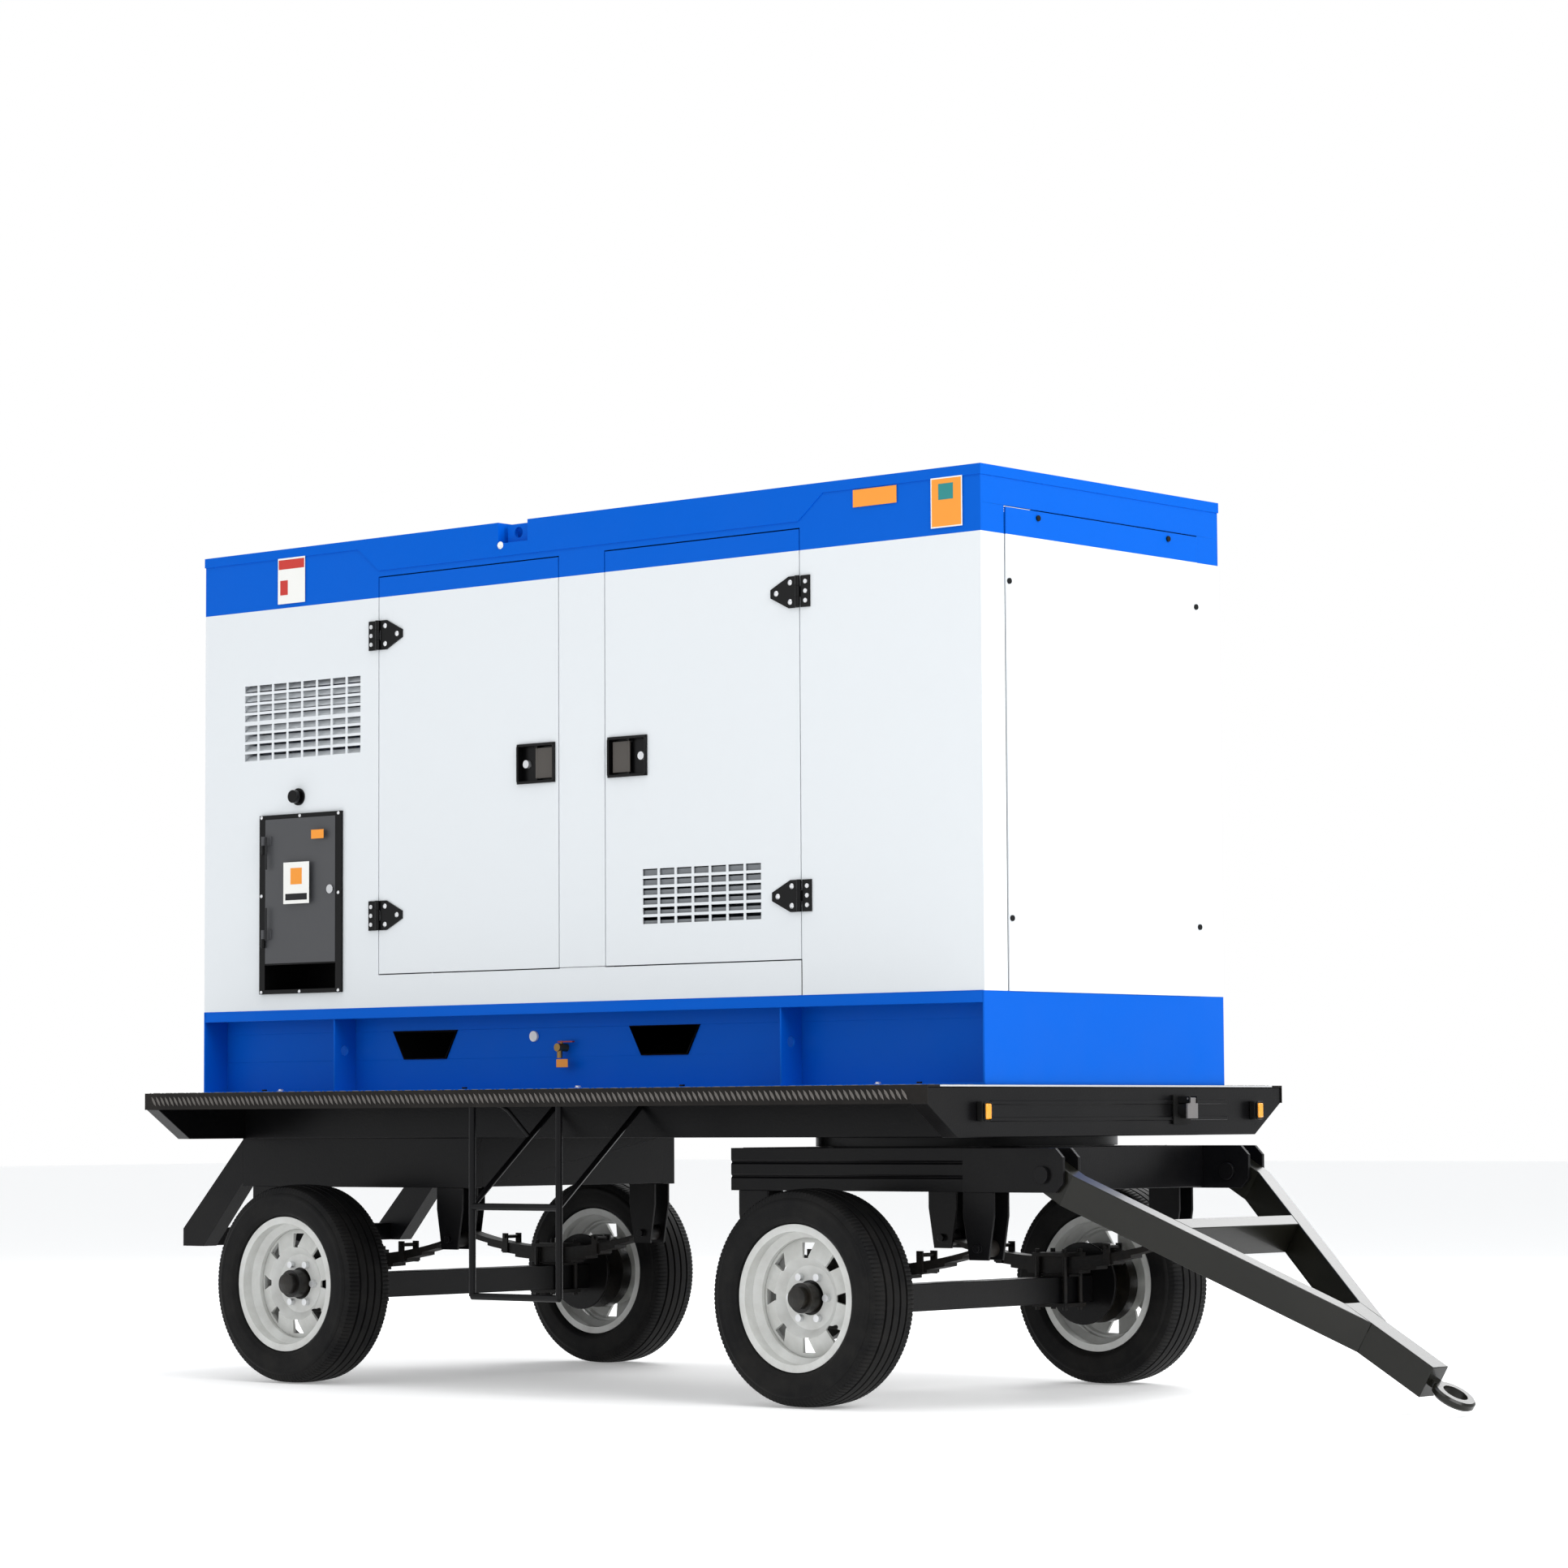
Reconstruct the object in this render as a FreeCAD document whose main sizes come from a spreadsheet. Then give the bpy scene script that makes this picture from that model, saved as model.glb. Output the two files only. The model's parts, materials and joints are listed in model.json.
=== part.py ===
"""Towable diesel generator: a sound-proofed set on a blue skid, carried by a turntable trailer.

Frame of the part: +X points to the drawbar, -Y is the service side, +Z is up, z = 0 is the ground.
All formulas below place things from the front face of the canopy (x = 0 there, rearwards negative);
each node then moves by SHIFT, which puts the origin under the middle of the whole trailer.
"""
import FreeCAD, Part
import os
import re
import Sketcher

SIZES = [
    # wheels, axles and springs
    ("tyre_r", 325), ("tyre_half", 102), ("tread_half", 84), ("tyre_wall", 11),
    ("sidewall_r", 262), ("shoulder_r", 306), ("bead_half", 74), ("groove_deep", 8), ("groove_wide", 8),
    ("groove_step", 34), ("sidewall_round", 75), ("shoulder_round", 30),
    ("rim_flange_r", 220), ("rim_seat_r", 203), ("rim_well_r", 184), ("rim_t", 5), ("rim_half", 83),
    ("rim_lip", 8), ("well_half", 26), ("disc_t", 7), ("disc_crest", 34), ("disc_face", 12),
    ("disc_crest_r", 122),
    ("disc_hole_r", 52), ("window_low_r", 118), ("window_high_r", 164), ("window_low_half", 9),
    ("window_high_half", 25), ("window_count", 8), ("nut_count", 6), ("nut_circle_r", 70), ("nut_r", 11),
    ("nut_long", 16), ("hub_r", 45), ("hub_out", 58), ("hub_cap_r", 33), ("hub_cap_out", 84),
    ("hub_flange_r", 92), ("hub_flange_t", 12), ("drum_r", 128), ("drum_in", 70), ("spindle_r", 20),
    ("spindle_out", 40), ("run_gap", 0.05), ("face_gap", 0.3), ("wheel_track_half", 745),
    ("axle_box", 84), ("axle_drop", 15), ("axle_in", 155), ("backing_r", 132), ("backing_t", 10),
    ("spring_y", 468), ("spring_w", 60), ("leaf_t", 9), ("leaf_count", 6), ("leaf_round", 1640),
    ("leaf_half", 443), ("leaf_step", 68), ("eye_camber", 60), ("spring_eye_r", 26), ("spring_pin_r", 12),
    ("seat_t", 8), ("clamp_w", 130), ("clamp_t", 12), ("ubolt_r", 8), ("clip_at", 215), ("clip_w", 24),
    ("clip_t", 6), ("clip_rise", 34),
    ("hanger_top_half", 58), ("hanger_low_half", 36), ("hanger_t", 8), ("hanger_under", 34),
    # running gear frames
    ("rail_out", 502), ("rail_w", 60), ("frame_rise", 312), ("bogie_rail_h", 131), ("slew_h", 32),
    ("slew_r", 470), ("slew_in_r", 390), ("slew_skirt_t", 10), ("slew_skirt_h", 13), ("slew_low_t", 16),
    ("front_axle_back", 553), ("rear_axle_in", 639), ("bogie_tail", 36), ("bogie_cross_1", 340),
    ("bogie_cross_2", 640), ("bogie_nose_back", 20), ("bogie_ear_start", 150),
    ("bogie_front", 212), ("ear_t", 12), ("ear_round", 28), ("groove_in", 5), ("groove_h", 12),
    ("cross_w", 60), ("rear_tail", 56), ("rear_nose", 28), ("leg_w", 104), ("leg_reach", 220),
    ("leg_low", 430), ("leg_bar_h", 60),
    # drawbar
    ("pivot_x", 137), ("pivot_up", 52), ("drawbar_tilt", 30.5), ("arm_h", 100), ("arm_w", 60),
    ("arm_gap", 1.5), ("ear_back", 45), ("ear_ahead", 90), ("arm_meet", 930), ("tongue_end", 1169),
    ("tongue_half", 40), ("brace_at", 340), ("brace_w", 52), ("pivot_r", 16), ("bolt_head_r", 26),
    ("bolt_head_t", 12), ("eye_at", 1246), ("eye_r", 65), ("eye_hole_r", 38), ("eye_t", 26),
    ("shank_half", 18), ("eye_edge", 6),
    # trailer deck
    ("deck_half", 903), ("deck_front", 17), ("deck_rear_in", 30), ("deck_h", 154), ("deck_t", 6),
    ("fascia_h", 55), ("fascia_t", 6), ("end_beam_w", 60), ("bevel_in", 148),
    ("rib_t", 4), ("rib_h", 12), ("rib_half", 600),
    ("outrigger_w", 50), ("outrigger_count", 7),
    ("step_back", 1463), ("step_w", 376), ("step_rod_r", 11), ("step_low", 306), ("step_mid", 587),
    ("step_in", 18),
    ("lamp_right_y", 650), ("lamp_left_y", 740), ("lamp_drop", 78), ("lamp_h", 46), ("lamp_w", 26),
    ("lamp_deep", 22), ("lens_t", 9), ("lamp_frame", 6), ("socket_y", 350), ("socket_r", 27),
    ("socket_long", 34), ("socket_plate", 90), ("socket_drop", 75), ("lid_t", 6), ("lid_pin_r", 3),
    # skid base
    ("base_h", 278), ("base_half", 609), ("web_y", 505), ("base_t", 6), ("flange_h", 35),
    ("stiff_front", 794), ("stiff_rear_in", 640), ("stiff_hole_r", 17), ("pocket_1_back", 2429),
    ("pocket_2_back", 1362), ("pocket_top_half", 150), ("pocket_low_half", 98), ("pocket_low", 106),
    ("pocket_high", 201), ("pocket_wall", 4), ("pocket_lip", 6), ("tank_back", 2200), ("tank_front", 1590),
    ("tank_half", 480), ("tank_low", 20), ("tank_high", 236), ("plug_back", 1930), ("plug_up", 174),
    ("plug_r", 17), ("valve_back", 1790), ("valve_up", 136), ("valve_r", 13), ("valve_long", 44),
    ("lever_long", 52), ("lever_t", 4), ("lever_w", 12), ("stem_r", 5),
    # canopy
    ("canopy_length", 3400), ("panel_half", 607), ("panel_t", 3), ("canopy_h", 1562), ("roof_t", 3),
    ("roof_over", 3), ("roof_lip", 32), ("skirt_drop", 111), ("skirt_rear", 2545), ("skirt_front", 710),
    ("skirt_slope", 100), ("sill_h", 111), ("header_h", 132), ("door_gap", 4), ("door_depth", 26),
    ("door_skin", 3), ("rear_door_back", 2545), ("rear_door_front", 1726), ("front_door_back", 1520),
    ("front_door_front", 709), ("post_w", 50), ("post_deep", 40), ("end_panel_half", 490),
    ("end_head", 116), ("end_panel_proud", 4), ("lift_back", 1925), ("lift_w", 132), ("lift_deep", 62),
    ("lift_drop", 69), ("lift_hole_r", 18), ("lift_plate_t", 12), ("lift_plate_w", 96),
    ("outlet_w", 420), ("outlet_back", 620), ("outlet_half", 330), ("outlet_bars", 12), ("outlet_bar_t", 5),
    ("pocket_skin", 3), ("lift_hole_up", 34),
    # hinges and latches
    ("hinge_in", 193), ("hinge_h", 98), ("leaf_plate", 5), ("knuckle_r", 8),
    ("knuckle_clear", 0.5), ("hinge_pin_r", 4), ("body_leaf_w", 46), ("strap_long", 112), ("strap_tip", 26),
    ("knuckle_gap", 1), ("latch_w", 167), ("latch_h", 129), ("latch_in", 13),
    ("latch_rim", 9), ("latch_proud", 6), ("latch_deep", 18), ("latch_wall", 3), ("paddle_w", 68),
    ("paddle_h", 98), ("paddle_t", 5), ("paddle_pin_r", 3), ("key_r", 13), ("key_long", 12),
    ("hinge_bolt_r", 7), ("hinge_bolt_t", 4),
    # vents
    ("vent_in", 190), ("vent_w", 584), ("vent_over", 125), ("vent_h", 275), ("vent_bar", 9), ("vent_cols", 8),
    ("vent_rows", 8), ("vent_mid_bar", 14), ("slat_deep", 30), ("slat_t", 2), ("slat_tilt", 40),
    ("door_vent_back", 1371), ("door_vent_w", 511), ("door_vent_up", 229), ("door_vent_h", 191),
    ("door_vent_cols", 7), ("door_vent_rows", 6), ("slat_gap", 8),
    # power outlet box, stop button
    ("box_in", 285), ("box_w", 398), ("box_up", 55), ("box_h", 606), ("box_rim", 27), ("box_proud", 10),
    ("box_deep", 190), ("box_wall", 3), ("cable_h", 84), ("cable_low", 14), ("box_bar", 5), ("box_head", 13),
    ("box_door_t", 4), ("box_lock_r", 15), ("box_lock_out", 8), ("box_lock_in", 14), ("box_lock_edge", 20),
    ("cam_long", 34), ("box_door_gap", 1.5), ("box_fit", 0.5),
    ("box_pin_r", 4), ("box_knuckle_r", 7), ("box_knuckle_h", 60), ("socket_face_in", 120),
    ("outlet_r", 42), ("outlet_out", 48), ("breaker_w", 220), ("breaker_h", 90), ("breaker_out", 40),
    ("stop_in", 469), ("stop_over", 57), ("stop_r", 22), ("stop_out", 20), ("stop_stem_r", 8),
    ("stop_stem_in", 30), ("stop_ring_r", 29), ("stop_ring_t", 6), ("stop_travel", 6),
    # engine bay
    ("engine_front", 1000), ("engine_long", 950), ("engine_half", 215), ("engine_low", 110),
    ("engine_h", 400), ("sump_half", 150), ("sump_inset", 90), ("sump_h", 70), ("head_half", 150),
    ("head_inset", 20), ("cover_inset", 50), ("head_h", 140), ("cover_half", 105), ("cover_h", 60), ("foot_w", 80), ("foot_out", 90), ("foot_t", 20),
    ("alternator_r", 225), ("alternator_long", 620), ("crank_up", 300), ("fan_up", 420), ("fan_r", 330),
    ("fan_hub_r", 70), ("fan_back", 700), ("fan_w", 60), ("fan_blades", 8), ("fan_blade_t", 5),
    ("fan_blade_w", 110), ("fan_pitch", 28), ("fan_pin_r", 15), ("radiator_back", 420), ("radiator_t", 90),
    ("radiator_half", 420), ("radiator_h", 900), ("silencer_r", 120), ("silencer_long", 760),
    ("silencer_drop", 420), ("silencer_back", 1950), ("strap_w", 40), ("pipe_r", 35), ("battery_in", 480),
    ("battery_long", 350), ("battery_w", 175), ("battery_h", 190), ("battery_y", 150), ("terminal_r", 9),
    ("terminal_h", 18), ("bolt_r", 9), ("bolt_t", 6),
]
ALIASES = {alias for alias, value in SIZES}

doc = FreeCAD.newDocument("TowableGenerator")
sheet = doc.addObject("Spreadsheet::Sheet", "Sizes")
for row, (alias, value) in enumerate(SIZES, start=1):
    sheet.set("A%d" % row, alias)
    sheet.set("B%d" % row, str(value))
    sheet.setAlias("B%d" % row, alias)
doc.recompute()

# Heights that stack on the tyres, as formulas of the sheet.
AXLE = "tyre_r"
BEAD = "(rim_seat_r + face_gap)"
BEAM_LOW = "(tyre_r - axle_drop - axle_box / 2)"
BEAM_HIGH = "(tyre_r - axle_drop + axle_box / 2)"
LEAF_TOP = "(tyre_r - axle_drop + axle_box / 2 + seat_t + leaf_count * leaf_t)"
EYE_Z = "(%s + eye_camber - leaf_t / 2)" % LEAF_TOP
FRAME_LOW = "(tyre_r + frame_rise)"
BOGIE_TOP = "(tyre_r + frame_rise + bogie_rail_h)"
DECK_LOW = "(tyre_r + frame_rise + bogie_rail_h + slew_h)"
DECK_TOP = "(%s + deck_h)" % DECK_LOW
BASE_TOP = "(%s + deck_h + base_h)" % DECK_LOW
CANOPY_TOP = "(%s + deck_h + base_h + canopy_h)" % DECK_LOW
DOOR_LOW = "(%s + sill_h)" % BASE_TOP
DOOR_HIGH = "(%s - header_h)" % CANOPY_TOP
LATCH_Z = "((%s + %s) / 2)" % (DOOR_LOW, DOOR_HIGH)
PIVOT_Z = "(%s + pivot_up)" % FRAME_LOW
REAR = "(-canopy_length)"
FRONT_AXLE_X = "(-front_axle_back)"
REAR_AXLE_X = "(-canopy_length + rear_axle_in)"
AXLE_END = "(wheel_track_half - axle_in)"
SPRING_REACH = "(leaf_half + hanger_top_half)"
BOGIE_END = "(%s - %s - bogie_tail)" % (FRONT_AXLE_X, SPRING_REACH)
REAR_FRAME = ("(%s - %s - rear_tail)" % (REAR_AXLE_X, SPRING_REACH),
              "(%s + %s + rear_nose)" % (REAR_AXLE_X, SPRING_REACH))
TILT = "(drawbar_tilt * 1 deg)"
NOSE = "(pivot_x + (eye_at + eye_r) * cos(%s) + (eye_t / 2 - eye_edge) * sin(%s))" % (TILT, TILT)
TAIL = "(canopy_length + leg_reach)"
SHIFT = "((%s - %s) / 2)" % (TAIL, NOSE)
SIDES = (("right", -1), ("left", 1))
NODES = []


def expand(formula):
    """Turn bare size names into references to the sheet."""
    def named(match):
        word = match.group(0)
        return "Sizes." + word if word in ALIASES else word
    return re.sub(r"[A-Za-z_][A-Za-z_0-9]*", named, str(formula))


def number(formula):
    """The present value of a formula, in millimetres or plain."""
    value = sheet.evalExpression(expand(formula))
    return float(getattr(value, "Value", value))


def bind(item, prop, formula):
    item.setExpression(prop, expand(formula))


def place(item, at):
    for axis, formula in zip("xyz", at):
        bind(item, "Placement.Base." + axis, formula)


def sided(side, near, far):
    """A y range from near to far, mirrored to the side it is for."""
    if side > 0:
        return (near, far)
    return ("-(%s)" % far, "-(%s)" % near)


def block(name, x, y, z):
    """A box between low and high formulas on each axis."""
    item = doc.addObject("Part::Box", name)
    for prop, (low, high) in zip(("Length", "Width", "Height"), (x, y, z)):
        bind(item, prop, "(%s) - (%s)" % (high, low))
    place(item, (x[0], y[0], z[0]))
    return item


TURNS = {
    "X": FreeCAD.Rotation(FreeCAD.Vector(0, 1, 0), 90),
    "Y": FreeCAD.Rotation(FreeCAD.Vector(1, 0, 0), -90),
    "Z": FreeCAD.Rotation(),
}


def rod(name, axis, start, radius, length):
    """A round bar from start along +axis."""
    item = doc.addObject("Part::Cylinder", name)
    item.Placement = FreeCAD.Placement(FreeCAD.Vector(), TURNS[axis])
    bind(item, "Radius", radius)
    bind(item, "Height", length)
    place(item, start)
    return item


def slanted_rod(name, start, end, radius):
    """A round bar between two points given as formulas."""
    low = FreeCAD.Vector(*[number(value) for value in start])
    high = FreeCAD.Vector(*[number(value) for value in end])
    item = doc.addObject("Part::Cylinder", name)
    turn = FreeCAD.Rotation(FreeCAD.Vector(0, 0, 1), high - low)
    item.Placement = FreeCAD.Placement(low, turn)
    bind(item, "Radius", radius)
    spans = ["((%s) - (%s))^2" % (b, a) for a, b in zip(start, end)]
    bind(item, "Height", "sqrt(%s)" % " + ".join(spans))
    place(item, start)
    return item


def origin_plane(body, role):
    for feature in body.Origin.OriginFeatures:
        if feature.Role == role:
            return feature
    raise ValueError(role)


def outline(body, name, plane, points, offset="0"):
    """A closed sketch whose corners follow formulas; a corner may carry the radius of the arc that
    reaches it, positive where the arc bulges to the left of the way there."""
    sketch = body.newObject("Sketcher::SketchObject", name)
    sketch.AttachmentSupport = [(origin_plane(body, plane + "_Plane"), "")]
    sketch.MapMode = "FlatFace"
    bind(sketch, "AttachmentOffset.Base.z", offset)
    corners = [FreeCAD.Vector(number(p[0]), number(p[1]), 0) for p in points]
    count = len(points)
    for index in range(count):
        start = corners[index]
        end = corners[(index + 1) % count]
        spec = points[(index + 1) % count]
        if len(spec) == 2:
            sketch.addGeometry(Part.LineSegment(start, end), False)
            continue
        radius = number(spec[2])
        chord = end - start
        half = chord.Length / 2
        rise = abs(radius) - (radius * radius - half * half) ** 0.5
        left = FreeCAD.Vector(-chord.y, chord.x, 0).normalize()
        middle = (start + end) * 0.5 + left * (rise if radius > 0 else -rise)
        sketch.addGeometry(Part.Arc(start, middle, end), False)
    # an arc that runs clockwise is stored from its far end
    heads = [2 if (edge.EndPoint - corners[(index + 1) % count]).Length < 0.001 else 1
             for index, edge in enumerate(sketch.Geometry)]
    for index in range(count):
        after = (index + 1) % count
        corner = corners[after]
        here_end = heads[index]
        rule = Sketcher.Constraint("Coincident", index, here_end, after, 3 - heads[after])
        sketch.addConstraint(rule)
        spec = points[(index + 1) % count]
        for kind, value, formula in (("DistanceX", corner.x, spec[0]), ("DistanceY", corner.y, spec[1])):
            rule = Sketcher.Constraint(kind, -1, 1, index, here_end, value)
            at = sketch.addConstraint(rule)
            bind(sketch, "Constraints[%d]" % at, formula)
        if len(spec) == 3:
            at = sketch.addConstraint(Sketcher.Constraint("Radius", index, abs(number(spec[2]))))
            bind(sketch, "Constraints[%d]" % at, "abs(%s)" % spec[2])
    return sketch


def prism(name, plane, points, middle, width):
    """A plate or bar of the outline, width thick about the middle of the third axis."""
    body = doc.addObject("PartDesign::Body", name)
    offset = "-(%s)" % middle if plane == "XZ" else middle
    sketch = outline(body, name + "_outline", plane, points, offset)
    pad = body.newObject("PartDesign::Pad", name + "_pad")
    pad.Profile = sketch
    pad.Midplane = True
    bind(pad, "Length", width)
    return body


def turned(name, points):
    """A body of revolution about Y; points are (radius, y)."""
    body = doc.addObject("PartDesign::Body", name)
    sketch = outline(body, name + "_section", "XY", points)
    spin = body.newObject("PartDesign::Revolution", name + "_turned")
    spin.Profile = sketch
    spin.ReferenceAxis = (sketch, ["V_Axis"])
    spin.Angle = 360
    return body


def fuse(name, items):
    if len(items) == 1:
        return items[0]
    item = doc.addObject("Part::MultiFuse", name)
    item.Shapes = items
    item.Refine = True
    return item


def cut(name, base, tool):
    item = doc.addObject("Part::Cut", name)
    item.Base = base
    item.Tool = tool
    return item


def copy_at(name, item, at, turn=None):
    """The same piece again in another place."""
    other = doc.addObject("Part::Compound", name)
    other.Links = [item]
    if turn is not None:
        other.Placement = FreeCAD.Placement(FreeCAD.Vector(), turn)
    place(other, at)
    return other


def node(label, items, at=("0", "0", "0"), turn=None):
    """A finished sub-part: its pieces, moved into the frame of the trailer."""
    item = doc.addObject("Part::Compound", label)
    item.Label = label
    item.Links = items
    if turn is not None:
        item.Placement = FreeCAD.Placement(FreeCAD.Vector(), turn)
    place(item, ("%s + %s" % (SHIFT, at[0]), at[1], at[2]))
    NODES.append(item)
    return item


HALF_TURN = FreeCAD.Rotation(FreeCAD.Vector(0, 0, 1), 180)


# ---- wheels -------------------------------------------------------------------------------------
def tyre_section():
    """Tread with four grooves, round shoulders and a hollow inside that opens to the rim."""
    outer = [(BEAD, "-bead_half"), ("rim_flange_r + 1", "-bead_half"),
             ("sidewall_r", "-tyre_half", "-sidewall_round"),
             ("shoulder_r", "-(tyre_half - 6)"), ("tyre_r", "-tread_half", "-shoulder_round")]
    for step in (-1.5, -0.5, 0.5, 1.5):
        middle = "groove_step * (%s)" % step
        outer.append(("tyre_r", "%s - groove_wide / 2" % middle))
        outer.append(("tyre_r - groove_deep", "%s - groove_wide / 2" % middle))
        outer.append(("tyre_r - groove_deep", "%s + groove_wide / 2" % middle))
        outer.append(("tyre_r", "%s + groove_wide / 2" % middle))
    outer += [("tyre_r", "tread_half"), ("shoulder_r", "tyre_half - 6", "-shoulder_round"),
              ("sidewall_r", "tyre_half"), ("rim_flange_r + 1", "bead_half", "-sidewall_round"),
              (BEAD, "bead_half")]
    inner = [(BEAD, "bead_half - tyre_wall"), ("sidewall_r", "tyre_half - tyre_wall"),
             ("shoulder_r - tyre_wall", "tyre_half - tyre_wall - 8"),
             ("tyre_r - groove_deep - tyre_wall", "tread_half - tyre_wall"),
             ("tyre_r - groove_deep - tyre_wall", "-(tread_half - tyre_wall)"),
             ("shoulder_r - tyre_wall", "-(tyre_half - tyre_wall - 8)"),
             ("sidewall_r", "-(tyre_half - tyre_wall)"), (BEAD, "-(bead_half - tyre_wall)")]
    return outer + inner


def rim_section():
    """Rolled rim: two flanges, bead seats and the drop centre."""
    top = [("rim_flange_r", "-rim_half"), ("rim_flange_r", "-(rim_half - rim_t)"),
           ("rim_seat_r", "-(rim_half - rim_lip)"), ("rim_seat_r", "-(well_half + 20)"),
           ("rim_well_r", "-well_half"), ("rim_well_r", "well_half"), ("rim_seat_r", "well_half + 20"),
           ("rim_seat_r", "rim_half - rim_lip"), ("rim_flange_r", "rim_half - rim_t"),
           ("rim_flange_r", "rim_half")]
    low = [("rim_seat_r - rim_t", "rim_half"), ("rim_seat_r - rim_t", "well_half + 20"),
           ("rim_well_r - rim_t", "well_half"), ("rim_well_r - rim_t", "-well_half"),
           ("rim_seat_r - rim_t", "-(well_half + 20)"), ("rim_seat_r - rim_t", "-rim_half")]
    return top + low


def disc_section():
    """Pressed disc: hub face, raised crest and an outer edge welded under the drop centre."""
    front = [("disc_hole_r", "disc_face"), ("hub_flange_r + 4", "disc_face"),
             ("disc_crest_r", "disc_crest"), ("rim_well_r - rim_t - 6", "disc_face + 4"),
             ("rim_well_r - rim_t + 1", "disc_face - 2"), ("rim_well_r - rim_t + 1", "-disc_t")]
    back = [("rim_well_r - rim_t - disc_t", "-disc_t"), ("rim_well_r - rim_t - 12", "disc_face - disc_t"),
            ("disc_crest_r - 2", "disc_crest - disc_t"), ("hub_flange_r + 8", "disc_face - disc_t"),
            ("disc_hole_r", "disc_face - disc_t")]
    return front + back


def rim_disc():
    body = doc.addObject("PartDesign::Body", "rim_disc")
    sketch = outline(body, "disc_section", "XY", disc_section())
    spin = body.newObject("PartDesign::Revolution", "disc_turned")
    spin.Profile = sketch
    spin.ReferenceAxis = (sketch, ["V_Axis"])
    spin.Angle = 360
    window = [("-window_low_half", "window_low_r"), ("window_low_half", "window_low_r"),
              ("window_high_half", "window_high_r"), ("-window_high_half", "window_high_r")]
    opening = outline(body, "disc_window", "XZ", window)
    doc.recompute()
    pocket = body.newObject("PartDesign::Pocket", "window_cut")
    pocket.Profile = opening
    pocket.Type = "ThroughAll"
    pocket.Midplane = True
    pattern = body.newObject("PartDesign::PolarPattern", "window_ring")
    pattern.Originals = [pocket]
    pattern.Axis = (origin_plane(body, "Y_Axis"), [""])
    pattern.Angle = 360
    bind(pattern, "Occurrences", "window_count")
    body.Tip = pattern
    return body


def hub_section():
    """Hub with its flange behind the disc, brake drum inboard and a grease cap outboard."""
    outer = [("spindle_r + run_gap", "-(drum_in)"), ("drum_r", "-drum_in"),
             ("drum_r", "-(drum_in - 42)"), ("hub_flange_r", "disc_face - disc_t - hub_flange_t - 8"),
             ("hub_flange_r", "disc_face - disc_t"), ("hub_r", "disc_face - disc_t"),
             ("hub_r", "hub_out"), ("hub_cap_r", "hub_out"), ("hub_cap_r", "hub_cap_out - 6"),
             ("hub_cap_r - 8", "hub_cap_out"), ("0", "hub_cap_out")]
    bore = [("0", "spindle_out + face_gap"), ("spindle_r + run_gap", "spindle_out + face_gap")]
    return outer + bore


tyre = turned("tyre_shape", tyre_section())
hub = turned("hub_shape", hub_section())
nuts = []
for index in range(int(number("nut_count"))):
    angle = "(%d * 360 deg / nut_count)" % index
    spot = ("nut_circle_r * cos(%s)" % angle, "disc_face", "nut_circle_r * sin(%s)" % angle)
    nuts.append(rod("wheel_nut", "Y", spot, "nut_r", "nut_long"))
rim = fuse("rim_shape", [turned("rim_barrel", rim_section()), rim_disc()])

WHEELS = (("front_right", -1, FRONT_AXLE_X), ("front_left", 1, FRONT_AXLE_X),
          ("rear_right", -1, REAR_AXLE_X), ("rear_left", 1, REAR_AXLE_X))
for corner, side, axle_x in WHEELS:
    turn = HALF_TURN if side < 0 else FreeCAD.Rotation()
    at = (axle_x, "%d * wheel_track_half" % side, AXLE)
    node("tyre_" + corner, [tyre], at, turn)
    node("wheel_" + corner, [rim, hub] + nuts, at, turn)


# ---- axles and leaf springs ---------------------------------------------------------------------
def axle(label, x):
    pieces = [block(label + "_beam", ("%s - axle_box / 2" % x, "%s + axle_box / 2" % x),
                    ("-" + AXLE_END, AXLE_END), (BEAM_LOW, BEAM_HIGH))]
    for name, side in SIDES:
        inner = "axle_in + spindle_out"
        start = AXLE_END if side > 0 else "-(wheel_track_half + spindle_out)"
        pin = rod("spindle_" + name, "Y", (x, start, AXLE), "spindle_r", inner)
        plate_from = AXLE_END if side > 0 else "-(%s + backing_t)" % AXLE_END
        plate = rod("backing_" + name, "Y", (x, plate_from, AXLE), "backing_r", "backing_t")
        pieces.append(fuse("stub_" + name, [pin, plate]))
    return node(label, pieces)


def leaf_pack():
    """Stepped leaves about one centre of curvature, with an eye at each end of the main leaf."""
    leaves = []
    for index in range(int(number("leaf_count"))):
        inner_r = "(leaf_round + %d * leaf_t)" % index
        outer_r = "(leaf_round + %d * leaf_t + leaf_t)" % index
        shrink = "leaf_step * %d" % index
        reach = "leaf_half - 14" if index == 0 else "leaf_half - %s" % shrink
        ring = []
        for kind, radius in (("outer", outer_r), ("inner", inner_r)):
            start = ("0", "-spring_w / 2", "leaf_round")
            ring.append(rod("leaf_%s_%d" % (kind, index), "Y", start, radius, "spring_w"))
        arc = cut("leaf_arc_%d" % index, ring[0], ring[1])
        limit = block("leaf_limit_%d" % index, ("-(%s)" % reach, reach), ("-spring_w", "spring_w"),
                      ("-200", "200"))
        leaf = doc.addObject("Part::Common", "leaf_%d" % index)
        leaf.Base = arc
        leaf.Tool = limit
        leaves.append(leaf)
    solid = fuse("leaves", leaves)
    eyes = []
    holes = []
    for side in (-1, 1):
        at = ("%d * leaf_half" % side, "-spring_w / 2", "eye_camber - leaf_t / 2")
        eyes.append(rod("spring_eye", "Y", at, "spring_eye_r", "spring_w"))
        holes.append(rod("spring_eye_hole", "Y", at, "spring_pin_r + face_gap", "spring_w"))
    eyed = fuse("eyed_leaves", [solid] + eyes)
    return cut("spring_pack", eyed, fuse("spring_eye_holes", holes))


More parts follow.
